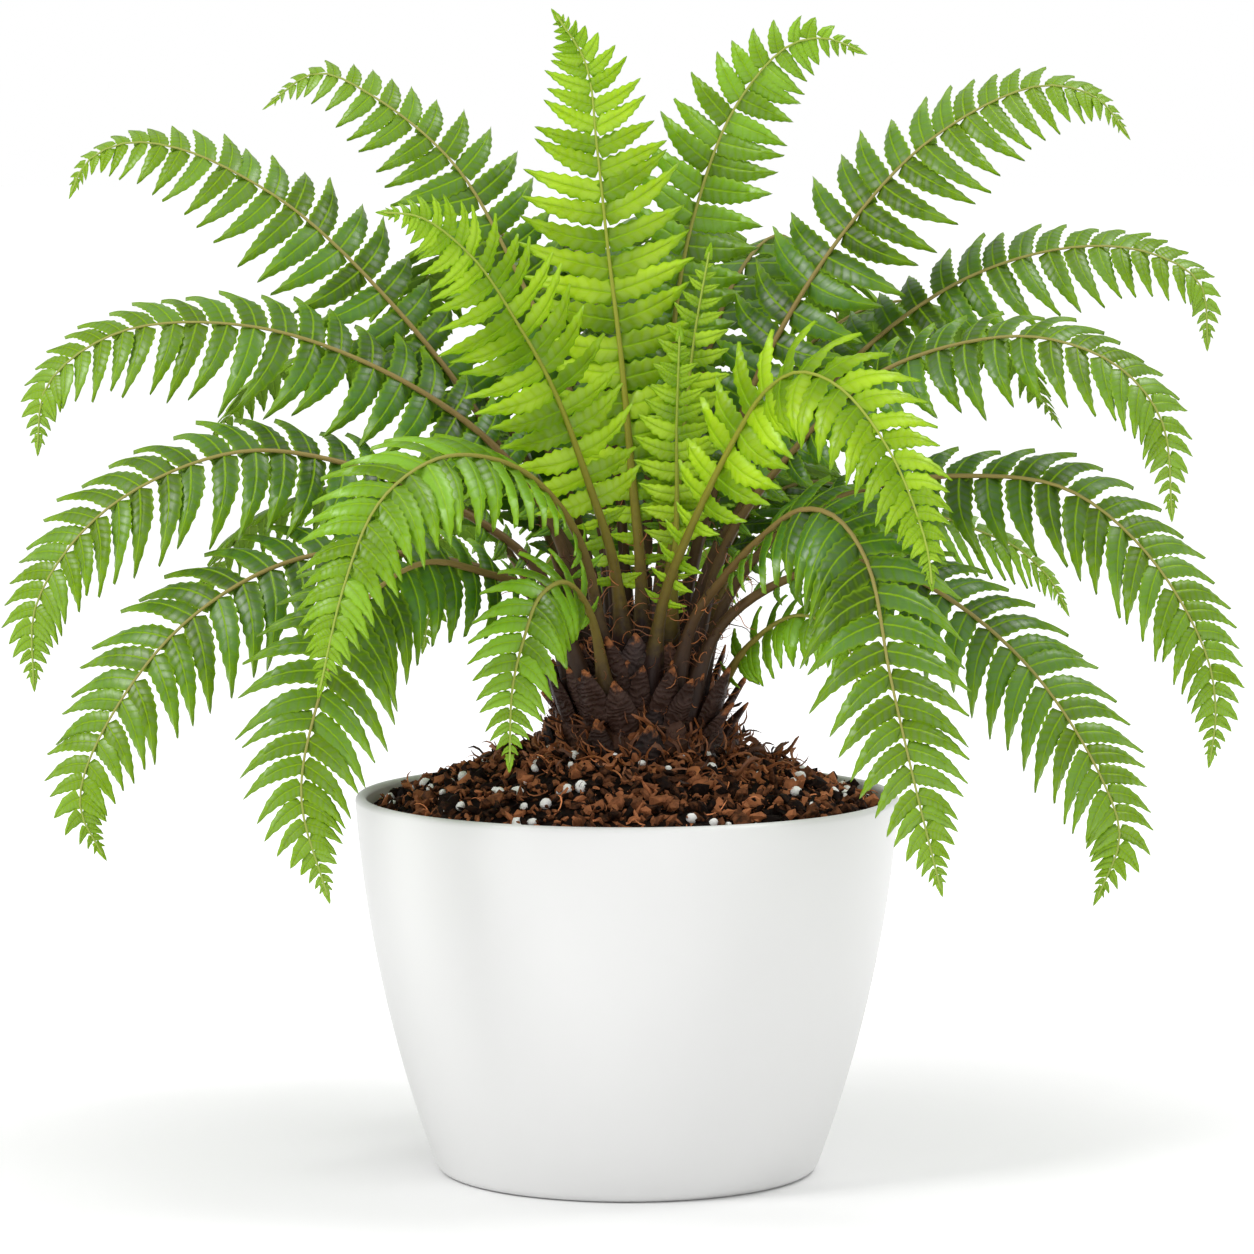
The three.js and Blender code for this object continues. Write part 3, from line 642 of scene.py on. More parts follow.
class Gather:
    """Copies of patterns, each with its own vertices, that become one piece"""

    def __init__(self):
        self.vertices = []
        self.faces = []
        self.slots = []
        self.grain = []
        self.tone = []
        self.count = 0

    def add(self, vertices, faces, slots, grain, tone):
        self.vertices.append(vertices)
        self.faces.extend(tuple(index + self.count for index in face) for face in faces)
        self.slots.extend(slots)
        self.grain.append(grain)
        self.tone.append(np.broadcast_to(tone, (len(vertices), 3)))
        self.count += len(vertices)

    def build(self, name, materials):
        """Makes the mesh with its grain map and tone attribute"""
        mesh = bpy.data.meshes.new(name)
        mesh.from_pydata(np.concatenate(self.vertices), [], self.faces)
        mesh.polygons.foreach_set("material_index", self.slots)
        corners = np.empty(len(mesh.loops), dtype=np.int32)
        mesh.loops.foreach_get("vertex_index", corners)
        grain = mesh.uv_layers.new(name="grain")
        grain.data.foreach_set("uv", np.concatenate(self.grain)[corners].ravel())
        set_tone(mesh, np.column_stack([np.concatenate(self.tone), np.ones(self.count)]))
        for material in materials:
            mesh.materials.append(material)
        mesh.update()
        obj = bpy.data.objects.new(name, mesh)
        bpy.context.collection.objects.link(obj)
        return obj


def finish_piece(obj, slot, *nodes):
    """Rides the piece on the one body and hides the nodes that it stands for; slot is not used"""
    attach(obj, "root")
    if nodes:
        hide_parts(*nodes)
    return obj


def unit(vector):
    return vector / np.linalg.norm(vector)


def heading(turn):
    """The level direction at a turn from +X towards +Y"""
    return np.array([math.cos(turn), math.sin(turn), 0])


def leaning(outward, lean):
    """Straight up, leant outward by an angle"""
    return outward * math.sin(lean) + (0, 0, math.cos(lean))


def from_trunk_axis(outward, distance, height):
    """The point at a distance from the trunk's axis and at a height"""
    return outward * distance + np.array([TRUNK_OFFSET, 0, height])


# Pot

def wall_point(height, inset):
    """Radius and height of a point on the pot's wall, which is one arc, set in by a depth"""
    lean = math.asin(math.sin(RIM_LEAN) + (POT_HEIGHT - height) / WALL_ARC_RADIUS)
    radius = RIM_RADIUS - WALL_ARC_RADIUS * (math.cos(RIM_LEAN) - math.cos(lean))
    return radius - inset * math.cos(lean), height + inset * math.sin(lean)


def wall_run(low, high, inset, steps):
    """Evenly spaced points on the wall between two heights"""
    return [wall_point(low + (high - low) * i / steps, inset) for i in range(steps + 1)]


def edge_arc(centre, radius, first, last, steps):
    """Evenly spaced points on a rounded edge between two turns"""
    turns = [first + (last - first) * i / steps for i in range(steps + 1)]
    return [(centre[0] + radius * math.cos(turn), centre[1] + radius * math.sin(turn)) for turn in turns]


def pot_rings():
    """The pot's outline from the middle of its underside, over the lip, to the middle of its floor"""
    foot_lean = math.asin(math.sin(RIM_LEAN) + POT_HEIGHT / WALL_ARC_RADIUS)
    corner_rise = FOOT_CORNER * (1 - math.sin(foot_lean))
    corner_centre = wall_point(0, 0)[0] - corner_rise / math.cos(foot_lean)
    lip = POT_WALL / 2
    rings = [(corner_centre - FOOT_CORNER, 0)]
    rings += edge_arc((corner_centre, FOOT_CORNER), FOOT_CORNER, -math.pi / 2, -foot_lean, 6)
    rings += wall_run(corner_rise, POT_HEIGHT - lip, 0, 24)[1:]
    rings += edge_arc(wall_point(POT_HEIGHT - lip, lip), lip, 0, math.pi, 8)[1:-1]
    rings += wall_run(FLOOR_THICKNESS, POT_HEIGHT - lip, POT_WALL, 12)[::-1]
    rings[-1] = (rings[-1][0], FLOOR_THICKNESS)
    return rings


def make_pot(settings):
    """The shell, with its drain holes drilled"""
    pot = ring_stack("white_pot", pot_rings(), settings.turns)
    drills = []
    for i in range(DRAIN_COUNT):
        turn = FULL_TURN * i / DRAIN_COUNT
        bpy.ops.mesh.primitive_cylinder_add(
            vertices=32, radius=DRAIN_RADIUS * MM, depth=4 * FLOOR_THICKNESS * MM,
            location=(DRAIN_CIRCLE * MM * math.cos(turn), DRAIN_CIRCLE * MM * math.sin(turn), 0))
        drills.append(bpy.context.object)
    for drill in drills:
        cut = pot.modifiers.new("drain hole", "BOOLEAN")
        cut.object = drill
        cut.operation = "DIFFERENCE"
        cut.solver = "EXACT"
        apply_modifier(pot, cut)
        remove(drill)
    pot.data.materials.clear()
    pot.data.materials.append(shell_material(settings.shell, settings.roughness))
    smooth(pot, 35)
    return finish_piece(pot, "pot", "pot")


# Potting mix

def mix_height(radius):
    """Height of the mound at a distance from the pot's axis, in millimetres"""
    edge = wall_point(MIX_EDGE_HEIGHT, POT_WALL)[0]
    plateau = edge * MIX_PLATEAU_SHARE
    share = min(max((radius - plateau) / (edge - plateau), 0), 1)
    return MIX_TOP_HEIGHT + (MIX_EDGE_HEIGHT - MIX_TOP_HEIGHT) * share ** MIX_SLOPE_POWER


def mound_place(rng, margin):
    """A random place on the mound, evenly spread and outside the trunk"""
    edge = wall_point(MIX_EDGE_HEIGHT, POT_WALL)[0] - margin
    while True:
        radius = edge * math.sqrt(rng.random())
        turn = rng.uniform(0, FULL_TURN)
        x, y = radius * math.cos(turn), radius * math.sin(turn)
        if math.hypot(x - TRUNK_OFFSET, y) > STUMP_RADIUS:
            return x, y, mix_height(radius)


# The mound's gap to the pot, the rings of its top and the smooth margin around its lumps
MIX_GAP = 0.4
MOUND_RINGS = 44
LUMP_MARGIN = 2


def mound_body(settings):
    """The mass of the mix, with a lumpy top"""
    rings = wall_run(FLOOR_THICKNESS, MIX_EDGE_HEIGHT, POT_WALL + MIX_GAP, 10)
    rings[0] = (rings[0][0], FLOOR_THICKNESS + MIX_GAP)
    edge = rings[-1][0]
    for i in range(1, MOUND_RINGS):
        radius = edge * (1 - i / MOUND_RINGS)
        rings.append((radius, mix_height(radius)))
    mound = ring_stack("mix_mound", rings, 120)
    lumps = bpy.data.textures.new("mix lumps", "CLOUDS")
    lumps.noise_scale = 7 * MM
    lumps.noise_depth = 3
    group = mound.vertex_groups.new(name="top")
    inner = edge - LUMP_MARGIN
    group.add([v.index for v in mound.data.vertices
               if math.hypot(v.co.x, v.co.y) < inner * MM and v.co.z > (MIX_EDGE_HEIGHT - 1) * MM], 1, "REPLACE")
    push = mound.modifiers.new("lumps", "DISPLACE")
    push.texture = lumps
    push.texture_coords = "LOCAL"
    push.direction = "Z"
    push.mid_level = 0.55
    push.strength = settings.relief
    push.vertex_group = group.name
    apply_modifier(mound, push)
    mound.vertex_groups.clear()
    set_tone(mound.data, np.full((len(mound.data.vertices), 4), 0.15))
    material = mix_material("mix_mass", scaled(settings.dark, 0.5), scaled(settings.rust, 0.25), 0.5)
    mound.data.materials.append(material)
    smooth(mound, 80)
    return finish_piece(mound, "potting_mix", "potting_mix")


def ball_pattern(subdivisions, roughness, evenness, seed, size):
    """A roughened and stretched ball, one unit across before it is stretched"""
    deselect_all()
    bpy.ops.mesh.primitive_ico_sphere_add(subdivisions=subdivisions, radius=0.5)
    ball = bpy.context.object
    bpy.ops.object.mode_set(mode="EDIT")
    bpy.ops.transform.vertex_random(offset=roughness, uniform=evenness, seed=seed)
    bpy.ops.transform.resize(value=size)
    object_mode()
    return pattern_of(ball)


# How much a strand narrows in each step and in its last one
STRAND_TAPER = 0.92
STRAND_END_TAPER = 0.3


def strand_pattern(bends, thick, flat):
    """A tapering curly strand one unit long: a thin three-sided prong that is bent step by step"""
    deselect_all()
    bpy.ops.mesh.primitive_circle_add(vertices=3, radius=thick, fill_type="NGON")
    strand = bpy.context.object
    edit_all()
    bpy.ops.transform.resize(value=(1, flat, 1))
    for bend_x, bend_y in bends[:-1]:
        extrude_step((bend_x, bend_y, 1 / len(bends)), STRAND_TAPER)
    extrude_step((*bends[-1], 1 / len(bends)), STRAND_END_TAPER)
    object_mode()
    outward_normals(strand)
    return pattern_of(strand)


# How far a strand moves sideways in each step, as a share of its length
STRAND_SHAPES = (
    ((0.02, 0.0), (0.06, 0.02), (0.10, 0.03), (0.10, 0.08), (0.02, 0.12), (-0.08, 0.10)),
    ((-0.03, 0.02), (-0.08, 0.0), (-0.02, -0.06), (0.08, -0.08), (0.12, 0.0), (0.06, 0.08)),
    ((0.05, 0.05), (0.12, 0.0), (0.16, -0.06), (0.12, -0.12), (0.02, -0.14), (-0.10, -0.08)),
    ((0.0, 0.03), (0.02, 0.07), (0.08, 0.12), (0.16, 0.10), (0.20, 0.0), (0.14, -0.10)),
)


def strand_patterns(thick, flat):
    """The strands of one thickness, flattened to a share of it"""
    return [strand_pattern(bends, thick, flat) for bends in STRAND_SHAPES]


def spin_matrix(rng, lean):
    """A random turn about the vertical after a random tilt of up to lean radians"""
    tilt = rng.uniform(-lean, lean)
    roll = rng.uniform(-lean, lean)
    turn = rng.uniform(0, FULL_TURN)
    about_y = np.array([[math.cos(tilt), 0, math.sin(tilt)], [0, 1, 0], [-math.sin(tilt), 0, math.cos(tilt)]])
    about_x = np.array([[1, 0, 0], [0, math.cos(roll), -math.sin(roll)], [0, math.sin(roll), math.cos(roll)]])
    about_z = np.array([[math.cos(turn), -math.sin(turn), 0], [math.sin(turn), math.cos(turn), 0], [0, 0, 1]])
    return about_z @ about_y @ about_x


def along_matrix(direction, rng):
    """A turn that lays a pattern's Z axis along a direction, with a random roll about it"""
    axis = unit(np.array(direction, float))
    side = unit(np.cross(axis, (0.31, 0.22, 0.93) if abs(axis[2]) < 0.9 else (1, 0, 0)))
    third = np.cross(axis, side)
    roll = rng.uniform(0, FULL_TURN)
    first = side * math.cos(roll) + third * math.sin(roll)
    return np.column_stack([first, np.cross(axis, first), axis])


def scatter(gather, pattern, place, size, matrix, tone):
    """Adds a turned copy of a pattern at a place"""
    vertices, faces, slots = pattern
    grain = np.column_stack([vertices[:, 2], vertices[:, 0] + 0.5])
    gather.add((vertices * size) @ matrix.T * MM + np.array(place) * MM, faces, slots, grain, tone)


# Chips: lengths, their spread, widths and heights as shares of the length, heights over the mound and lean
CHIP_LENGTHS = (2.6, 3.6, 4.8, 6.2, 8.4)
CHIP_SPREAD = (0.8, 1.2)
CHIP_SHAPES = ((0.5, 0.34), (0.38, 0.42), (0.62, 0.36), (0.30, 0.24), (0.7, 0.5))
CHIP_LIFT = (-1.0, 2.2)
CHIP_LEAN = 1.1

# Loose strands: lengths, heights over the mound and rise along their length
STRAND_LENGTHS = (5, 10)
STRAND_LIFT = (0.2, 1.4)
STRAND_RISE = (-0.1, 0.3)

# Beads: lengths, their spread, shape, height over the mound, distance from the pot's wall and lean
BEAD_LENGTHS = (2.6, 3.2, 4.0, 4.6, 5.2)
BEAD_SPREAD = (0.85, 1.15)
BEAD_SHAPE = (1, 0.9, 0.8)
BEAD_LIFT = 1.3
BEAD_MARGIN = 5
BEAD_LEAN = 3.1


def loose_chips(settings):
    """Bark chips lying on the mound"""
    rng = random.Random("bark chips")
    patterns = [ball_pattern(1, 0.16, 0.6, seed, (1, *shape)) for seed, shape in enumerate(CHIP_SHAPES, 3)]
    chips = Gather()
    for _ in range(settings.chips):
        length = rng.choice(CHIP_LENGTHS) * rng.uniform(*CHIP_SPREAD)
        x, y, z = mound_place(rng, 1.0 + length / 2)
        lift = rng.uniform(*CHIP_LIFT)
        matrix = spin_matrix(rng, CHIP_LEAN)
        tone = (rng.random() ** 1.6, 0, 0)
        scatter(chips, rng.choice(patterns), (x, y, z + lift), length, matrix, tone)
    piece = chips.build("bark_chips", [mix_material("bark_chip", settings.dark, settings.rust, 1.0)])
    return finish_piece(piece, "potting_mix")


def loose_strands(settings):
    """Curly coir strands on the mound"""
    rng = random.Random("coir strands")
    patterns = strand_patterns(0.05, 0.7)
    strands = Gather()
    for _ in range(settings.strands):
        length = rng.uniform(*STRAND_LENGTHS)
        x, y, z = mound_place(rng, 2 + length)
        direction = heading(rng.uniform(0, FULL_TURN)) + (0, 0, rng.uniform(*STRAND_RISE))
        tone = (rng.uniform(0.1, 0.9), 0, 0)
        scatter(strands, rng.choice(patterns), (x, y, z + rng.uniform(*STRAND_LIFT)), length,
                along_matrix(direction, rng), tone)
    material = mix_material("coir", scaled(settings.dark, 2.2), scaled(settings.rust, 2.2), 1.0)
    return finish_piece(smooth(strands.build("coir_strands", [material]), 60), "potting_mix")


def perlite_beads(settings):
    """Puffed white beads half sunk in the mound"""
    rng = random.Random("perlite beads")
    patterns = [ball_pattern(2, 0.05, 0.3, seed, BEAD_SHAPE) for seed in range(3)]
    beads = Gather()
    for _ in range(settings.beads):
        x, y, z = mound_place(rng, BEAD_MARGIN)
        length = rng.choice(BEAD_LENGTHS) * rng.uniform(*BEAD_SPREAD)
        scatter(beads, rng.choice(patterns), (x, y, z + BEAD_LIFT), length, spin_matrix(rng, BEAD_LEAN),
                (rng.random(), 0, 0))
    return finish_piece(smooth(beads.build("perlite_beads", [perlite_material()]), 60), "potting_mix")


# Trunk

def trunk_surface(share):
    """Radius and height on the trunk, from its skirt at 0 to its crown edge at 1"""
    flare = (1 - share) ** 2 * (SKIRT_RADIUS - TRUNK_RADIUS)
    radius = TRUNK_RADIUS + flare - share * (TRUNK_RADIUS - CROWN_EDGE_RADIUS)
    height = SKIRT_HEIGHT + (TRUNK_TOP - CROWN_EDGE_DROP - SKIRT_HEIGHT) * share
    return radius, height


def trunk_core(bark):
    """The trunk's body under its scales, down to the stump"""
    rings = [(STUMP_RADIUS * 0.6, STUMP_BOTTOM), (STUMP_RADIUS, STUMP_BOTTOM + 14), (SKIRT_RADIUS - 4, 152)]
    for i in range(9):
        radius, height = trunk_surface(i / 8)
        rings.append((radius - CORE_INSET, height))
    rings += [(CROWN_EDGE_RADIUS - 7, TRUNK_TOP - 4), (9, TRUNK_TOP - 1), (3, TRUNK_TOP)]
    core = ring_stack("trunk_core", rings, 48, (TRUNK_OFFSET, 0))
    activate(core)
    edit_all()
    bpy.ops.transform.vertex_random(offset=CORE_ROUGHNESS * MM, uniform=0.4, seed=5)
    object_mode()
    grain = core.data.uv_layers.new(name="grain")
    grain.data.foreach_set("uv", np.full(len(core.data.loops) * 2, 0.3))
    set_tone(core.data, np.tile([0.0, 0.15, 0.0, 1.0], len(core.data.vertices)))
    core.data.materials.append(bark)
    return smooth(core, 60)


def leaf_base_pattern(sections, flat, seed):
    """An old leaf base one unit long: a flattened, keeled stub that narrows to a broken tip"""
    deselect_all()
    bpy.ops.mesh.primitive_circle_add(vertices=12, radius=sections[0][0] / 2, fill_type="NGON")
    stub = bpy.context.object
    edit_all()
    for (wide, low), (next_wide, high) in zip(sections, sections[1:]):
        extrude_step((0, 0, high - low), next_wide / wide)
    bpy.ops.mesh.select_all(action="SELECT")
    bpy.ops.transform.resize(value=(1, flat, 1))
    bpy.ops.transform.vertex_random(offset=0.02, uniform=0.2, seed=seed)
    select_by(stub, lambda vertex: abs(vertex.co.x) < 0.12 and vertex.co.y > 0)
    bpy.ops.transform.translate(value=(0, 0.05, 0))
    object_mode()
    outward_normals(stub)
    return pattern_of(stub)


# Widths and heights of a leaf base from its foot to its tip
SCALE_SECTIONS = ((0.80, 0.0), (0.98, 0.2), (1.0, 0.42), (0.86, 0.6), (0.62, 0.76), (0.34, 0.9), (0.06, 1.0))
STUB_SECTIONS = ((0.9, 0.0), (0.8, 0.3), (0.62, 0.55), (0.48, 0.8), (0.36, 0.95), (0.2, 1.0))

# Stubs of old stipes that stand off the trunk: bearing in degrees, distance of the tip from the trunk's
# axis and its height
STUBS = ((181, 36, 177), (172, 36, 163), (196, 35, 168), (-3, 38, 182), (4, 37, 170), (-12, 36, 165),
         (28, 36, 176), (55, 36, 168), (80, 37, 178), (112, 36, 166), (138, 37, 175), (158, 36, 169),
         (-150, 35, 164), (-32, 35, 168))

# How deep the spiral's leaf bases sit in the trunk, and the inset and roughness of the core under them
SCALE_INSET = 7.2
CORE_INSET = 3.2
CORE_ROUGHNESS = 0.9

# Lean in degrees, length and width of the leaf bases in the spiral, at the feet of fronds and of the stubs
SCALE_LEAN, SCALE_LENGTH, SCALE_WIDTH = (5, 14), (21, 28), (12, 16)
FOOT_BASE_LENGTH, FOOT_BASE_WIDTH = (19, 27), (8.5, 11.5)
STUB_LEAN, STUB_LENGTH, STUB_WIDTH = (28, 42), (19, 24), (8.5, 10.5)


def add_leaf_base(gather, pattern, place, upward, outward, wide, length, tone):
    """Adds a leaf base that points upward and has its back outward"""
    across = unit(np.cross(outward, upward))
    matrix = np.column_stack([across, np.cross(upward, across), upward])
    vertices, faces, slots = pattern
    grain = vertices[:, [2, 0]] * (1, 0.5) + (0, 0.5)
    gather.add((vertices * (wide, wide, length)) @ matrix.T * MM + place * MM, faces, slots, grain, tone)


def trunk_scales(settings, bark, stems):
    """Old leaf bases in a spiral around the trunk, pairs of them at the fronds' feet, and the stubs"""
    rng = random.Random("leaf bases")
    broad = [leaf_base_pattern(SCALE_SECTIONS, 0.34, seed) for seed in range(5)]
    narrow = [leaf_base_pattern(STUB_SECTIONS, 0.45, seed) for seed in range(3)]
    scales = Gather()
    for k in range(settings.scales):
        share = (k + 0.5) / settings.scales
        radius, height = trunk_surface(share * 1.15 - 0.12)
        outward = heading(k * GOLDEN_ANGLE)
        upward = leaning(outward, math.radians(rng.uniform(*SCALE_LEAN)))
        length = rng.uniform(*SCALE_LENGTH)
        place = from_trunk_axis(outward, radius - SCALE_INSET, height - length * 0.5)
        tone = (rng.random(), rng.random() ** 5 * 0.7, 0)
        add_leaf_base(scales, rng.choice(broad), place, upward, outward, rng.uniform(*SCALE_WIDTH), length, tone)
    for stem in stems:
        foot = stem.point_at(0) - (TRUNK_OFFSET, 0, 0)
        reach = math.hypot(foot[0], foot[1])
        if reach < OUTER_SEAT_RADIUS:
            continue
        outward = np.array([foot[0], foot[1], 0]) / reach
        upward = unit(stem.point_at(0.09) - stem.point_at(0) + outward * 2)
        for sideways in (-0.25, 0.25):
            length = rng.uniform(*FOOT_BASE_LENGTH)
            turned = unit(outward + np.cross((0, 0, 1), outward) * sideways)
            place = from_trunk_axis(turned, reach + 1.8, foot[2] - rng.uniform(5, 10))
            add_leaf_base(scales, rng.choice(broad), place, upward, turned, rng.uniform(*FOOT_BASE_WIDTH), length,
                          (rng.random() * 0.8, 0.06, 0))
    for bearing, distance, height in STUBS:
        outward = heading(math.radians(bearing))
        upward = leaning(outward, math.radians(rng.uniform(*STUB_LEAN)))
        length = rng.uniform(*STUB_LENGTH)
        place = from_trunk_axis(outward, distance, height) - upward * length
        add_leaf_base(scales, rng.choice(narrow), place, upward, outward, rng.uniform(*STUB_WIDTH), length,
                      (rng.random(), 0.12, 0))
    return smooth(scales.build("leaf_bases", [bark]), 50)


# Lengths of the shreds, of the fibres on the trunk and of those on the stipes, and how far the shreds spread
SHRED_LENGTHS = (6, 12)
TRUNK_FIBRE_LENGTHS = (3.5, 7)
STIPE_FIBRE_LENGTHS = (4, 9)
SHRED_SPREAD = 24


def skirt_shreds(settings):
    """Flat rusty shreds and curls where the trunk meets the mix, and lying out over it"""
    rng = random.Random("skirt shreds")
    patterns = strand_patterns(0.15, 0.35) + strand_patterns(0.07, 0.6)
    shreds = Gather()
    for k in range(settings.shreds):
        outward = heading(rng.uniform(0, FULL_TURN))
        if k % 2 == 0:
            distance = SKIRT_RADIUS + rng.random() ** 1.4 * SHRED_SPREAD - 3
            height = mix_height(distance) + rng.uniform(-0.5, 2.5)
            direction = outward * rng.uniform(0.2, 1.0) + (rng.uniform(-1, 1), rng.uniform(-1, 1), 0.1)
        else:
            distance, height = trunk_surface(rng.random() ** 1.6 * 0.55)
            distance, height = distance - 1.2, height - 6
            sideways = np.cross(outward, (0, 0, 1)) * rng.uniform(-0.8, 0.8)
            direction = outward * rng.uniform(-0.05, 0.55) + sideways + (0, 0, 1)
        scatter(shreds, rng.choice(patterns), from_trunk_axis(outward, distance, height),
                rng.uniform(*SHRED_LENGTHS), along_matrix(direction, rng), (rng.random(), 0, 0))
    material = fibre_material(scaled(settings.rust, 0.8), scaled(settings.dark, 1.6))
    return finish_piece(smooth(shreds.build("skirt_shreds", [material]), 50), "trunk")


def crown_fibres(settings, stems):
    """Curly rusty fibres on the crown and on the feet of the stipes"""
    rng = random.Random("crown fibres")
    patterns = strand_patterns(0.03, 1.0)
    fibres = Gather()
    for k in range(settings.fibres):
        if k % 3 == 0:
            radius, height = trunk_surface(rng.uniform(0.1, 1.0))
            outward = heading(rng.uniform(0, FULL_TURN))
            place = from_trunk_axis(outward, radius + 0.4, height)
            direction = outward * 0.6 + (rng.uniform(-0.8, 0.8), rng.uniform(-0.8, 0.8), 0.7)
            length = rng.uniform(*TRUNK_FIBRE_LENGTHS)
        else:
            stem = rng.choice(stems)
            share = rng.uniform(0.02, 0.24) ** 1.15
            point, along, _, _ = stem.frame_at(share)
            away = unit(np.cross(along, (rng.uniform(-1, 1), rng.uniform(-1, 1), rng.uniform(-1, 1))))
            place = point + away * stem.radius(share) * 0.9
            direction = away * 0.9 + along * rng.uniform(0.0, 0.9)
            length = rng.uniform(*STIPE_FIBRE_LENGTHS)
        scatter(fibres, rng.choice(patterns), place, length, along_matrix(direction, rng), (rng.random(), 0, 0))
    material = fibre_material(settings.rust, scaled(settings.dark, 2.0))
    return finish_piece(smooth(fibres.build("crown_fibres", [material]), 60), "trunk")


# Fronds

def hermite(start, end, start_speed, end_speed, t):
    """A smooth curve from start to end with given speeds at both, at t from 0 to 1"""
    return (start + start_speed * t + (-3 * start + 3 * end - 2 * start_speed - end_speed) * t ** 2
            + (2 * start - 2 * end + start_speed + end_speed) * t ** 3)


def blade_share(place):
    """Share of the longest leaflet's length at a place along the blade: a smooth curve through BLADE_SHARES"""
    weight = min(max(place, 0), 1) * (len(BLADE_SHARES) - 1)
    i = min(int(weight), len(BLADE_SHARES) - 2)
    t = weight - i
    p0, p1, p2, p3 = (BLADE_SHARES[min(max(k, 0), len(BLADE_SHARES) - 1)] for k in range(i - 1, i + 3))
    return hermite(p1, p2, (p2 - p0) * 0.5, (p3 - p1) * 0.5, t)


class Stem:
    """A frond's smooth route and the frame along it, as the solids have them, in millimetres"""
    STEPS = 40

    def __init__(self, frond):
        self.frond = frond
        self.points = self.smooth_route(np.array(frond.route, float))
        gaps = np.linalg.norm(np.diff(self.points, axis=0), axis=1)
        self.distance = np.concatenate([[0], np.cumsum(gaps)])
        self.length = self.distance[-1]
        self.faces = unit(np.array(frond.faces, float))

    def smooth_route(self, route):
        """Points along the centripetal curve through the route"""
        ends = np.vstack([2 * route[0] - route[1], route, 2 * route[-1] - route[-2]])
        points = []
        for i in range(len(route) - 1):
            p0, p1, p2, p3 = ends[i:i + 4]
            d0, d1, d2 = (np.linalg.norm(b - a) ** 0.5 for a, b in ((p0, p1), (p1, p2), (p2, p3)))
            v1 = ((p1 - p0) / d0 - (p2 - p0) / (d0 + d1) + (p2 - p1) / d1) * d1
            v2 = ((p2 - p1) / d1 - (p3 - p1) / (d1 + d2) + (p3 - p2) / d2) * d1
            points += [hermite(p1, p2, v1, v2, t) for t in np.arange(self.STEPS) / self.STEPS]
        points.append(route[-1])
        return np.array(points)

    def point_at(self, share):
        """The point at a share of the frond's length"""
        return np.array([np.interp(share * self.length, self.distance, self.points[:, k]) for k in range(3)])

    def frame_at(self, share):
        """Point, direction along the frond, upper side and the direction across"""
        along = unit(self.point_at(min(share + 0.008, 1)) - self.point_at(max(share - 0.008, 0)))
        up = unit(self.faces - along * self.faces.dot(along))
        return self.point_at(share), along, up, np.cross(along, up)

    def radius(self, share):
        """The stalk's radius, which tapers and swells at its foot"""
        taper = TIP_RADIUS + (STIPE_RADIUS - TIP_RADIUS) * (1 - share) ** STIPE_TAPER_POWER
        swelling = FOOT_SWELLING * math.exp(-((share * self.length / FOOT_SWELLING_LENGTH) ** 2))
        return taper + swelling

    def pair_shares(self):
        """Shares of the length between which the pairs of leaflets stand, closer towards the tip"""
        bare, pairs = self.frond.bare, self.frond.pairs
        shares = []
        for i in range(pairs + 1):
            place = i / pairs
            shares.append(bare + (1 - bare) * place * (1 + PAIR_CROWDING - PAIR_CROWDING * place ** 2) * BLADE_END)
        return shares

    def blade_place(self, share):
        """Place along the leafy part from 0 to 1, and below 0 on the stipe"""
        return (share - self.frond.bare) / (1 - self.frond.bare)


# Leaflets: where they are widest and how they taper from there, from where on they are broad-footed teeth,
# the length in millimetres under which they take the small pattern, and the least width of their tips
LEAFLET_WIDEST = 0.18
LEAFLET_TAPER_POWER = 1.9
TOOTH_PLACE = 0.88
SMALL_LEAFLET = 17
LEAST_LEAFLET_WIDTH = 0.015


def leaflet_outline(x, foot):
    """Half width of a leaflet along its length, before its teeth are cut; foot is its share at the rachis"""
    if x < LEAFLET_WIDEST:
        return foot + (1 - foot) * math.sin(math.pi / 2 * x / LEAFLET_WIDEST)
    return max(1 - ((x - LEAFLET_WIDEST) / (1 - LEAFLET_WIDEST)) ** LEAFLET_TAPER_POWER, 0.0)


def leaflet_pattern(teeth, foot, notch, fold, thickness):
    """A leaflet one unit long and one wide, folded along its midrib, toothed along its sides and closed"""
    rows = teeth * 2
    deselect_all()
    bpy.ops.mesh.primitive_grid_add(x_subdivisions=rows, y_subdivisions=2, size=1, location=(0.5, 0, 0))
    leaf = apply_place(bpy.context.object)
    edit_all()
    bpy.ops.mesh.duplicate()
    bpy.ops.mesh.flip_normals()
    under = {v.index for v in bmesh.from_edit_mesh(leaf.data).verts
             if v.select and abs(v.co.y) < 0.1 and 0.001 < v.co.x < 0.999}
    select_by(leaf, lambda vertex: vertex.index in under)
    bpy.ops.transform.translate(value=(0, 0, -thickness))
    bpy.ops.mesh.select_all(action="SELECT")
    bpy.ops.mesh.remove_doubles(threshold=0.0005)
    select_by(leaf, lambda vertex: abs(vertex.co.y) > 0.1)
    bpy.ops.transform.translate(value=(0, 0, -fold))
    for row in range(rows + 1):
        x = row / rows
        peak = row % 2 == 1
        wide = max(leaflet_outline(x, foot) * (1.0 if peak or row == 0 else 1 - notch), LEAST_LEAFLET_WIDTH)
        select_by(leaf, lambda vertex: abs(vertex.co.x - x) < 0.2 / rows)
        bpy.ops.transform.resize(value=(1, wide, 1), center_override=(x, 0, 0))
        if peak:
            select_by(leaf, lambda vertex: abs(vertex.co.x - x) < 0.2 / rows and abs(vertex.co.y) > 0.2 * wide)
            bpy.ops.transform.translate(value=(0.22 / rows, 0, 0))
    object_mode()
    for face in leaf.data.polygons:
        face.material_index = 1 if face.normal.z < 0 else 0
    return pattern_of(leaf)


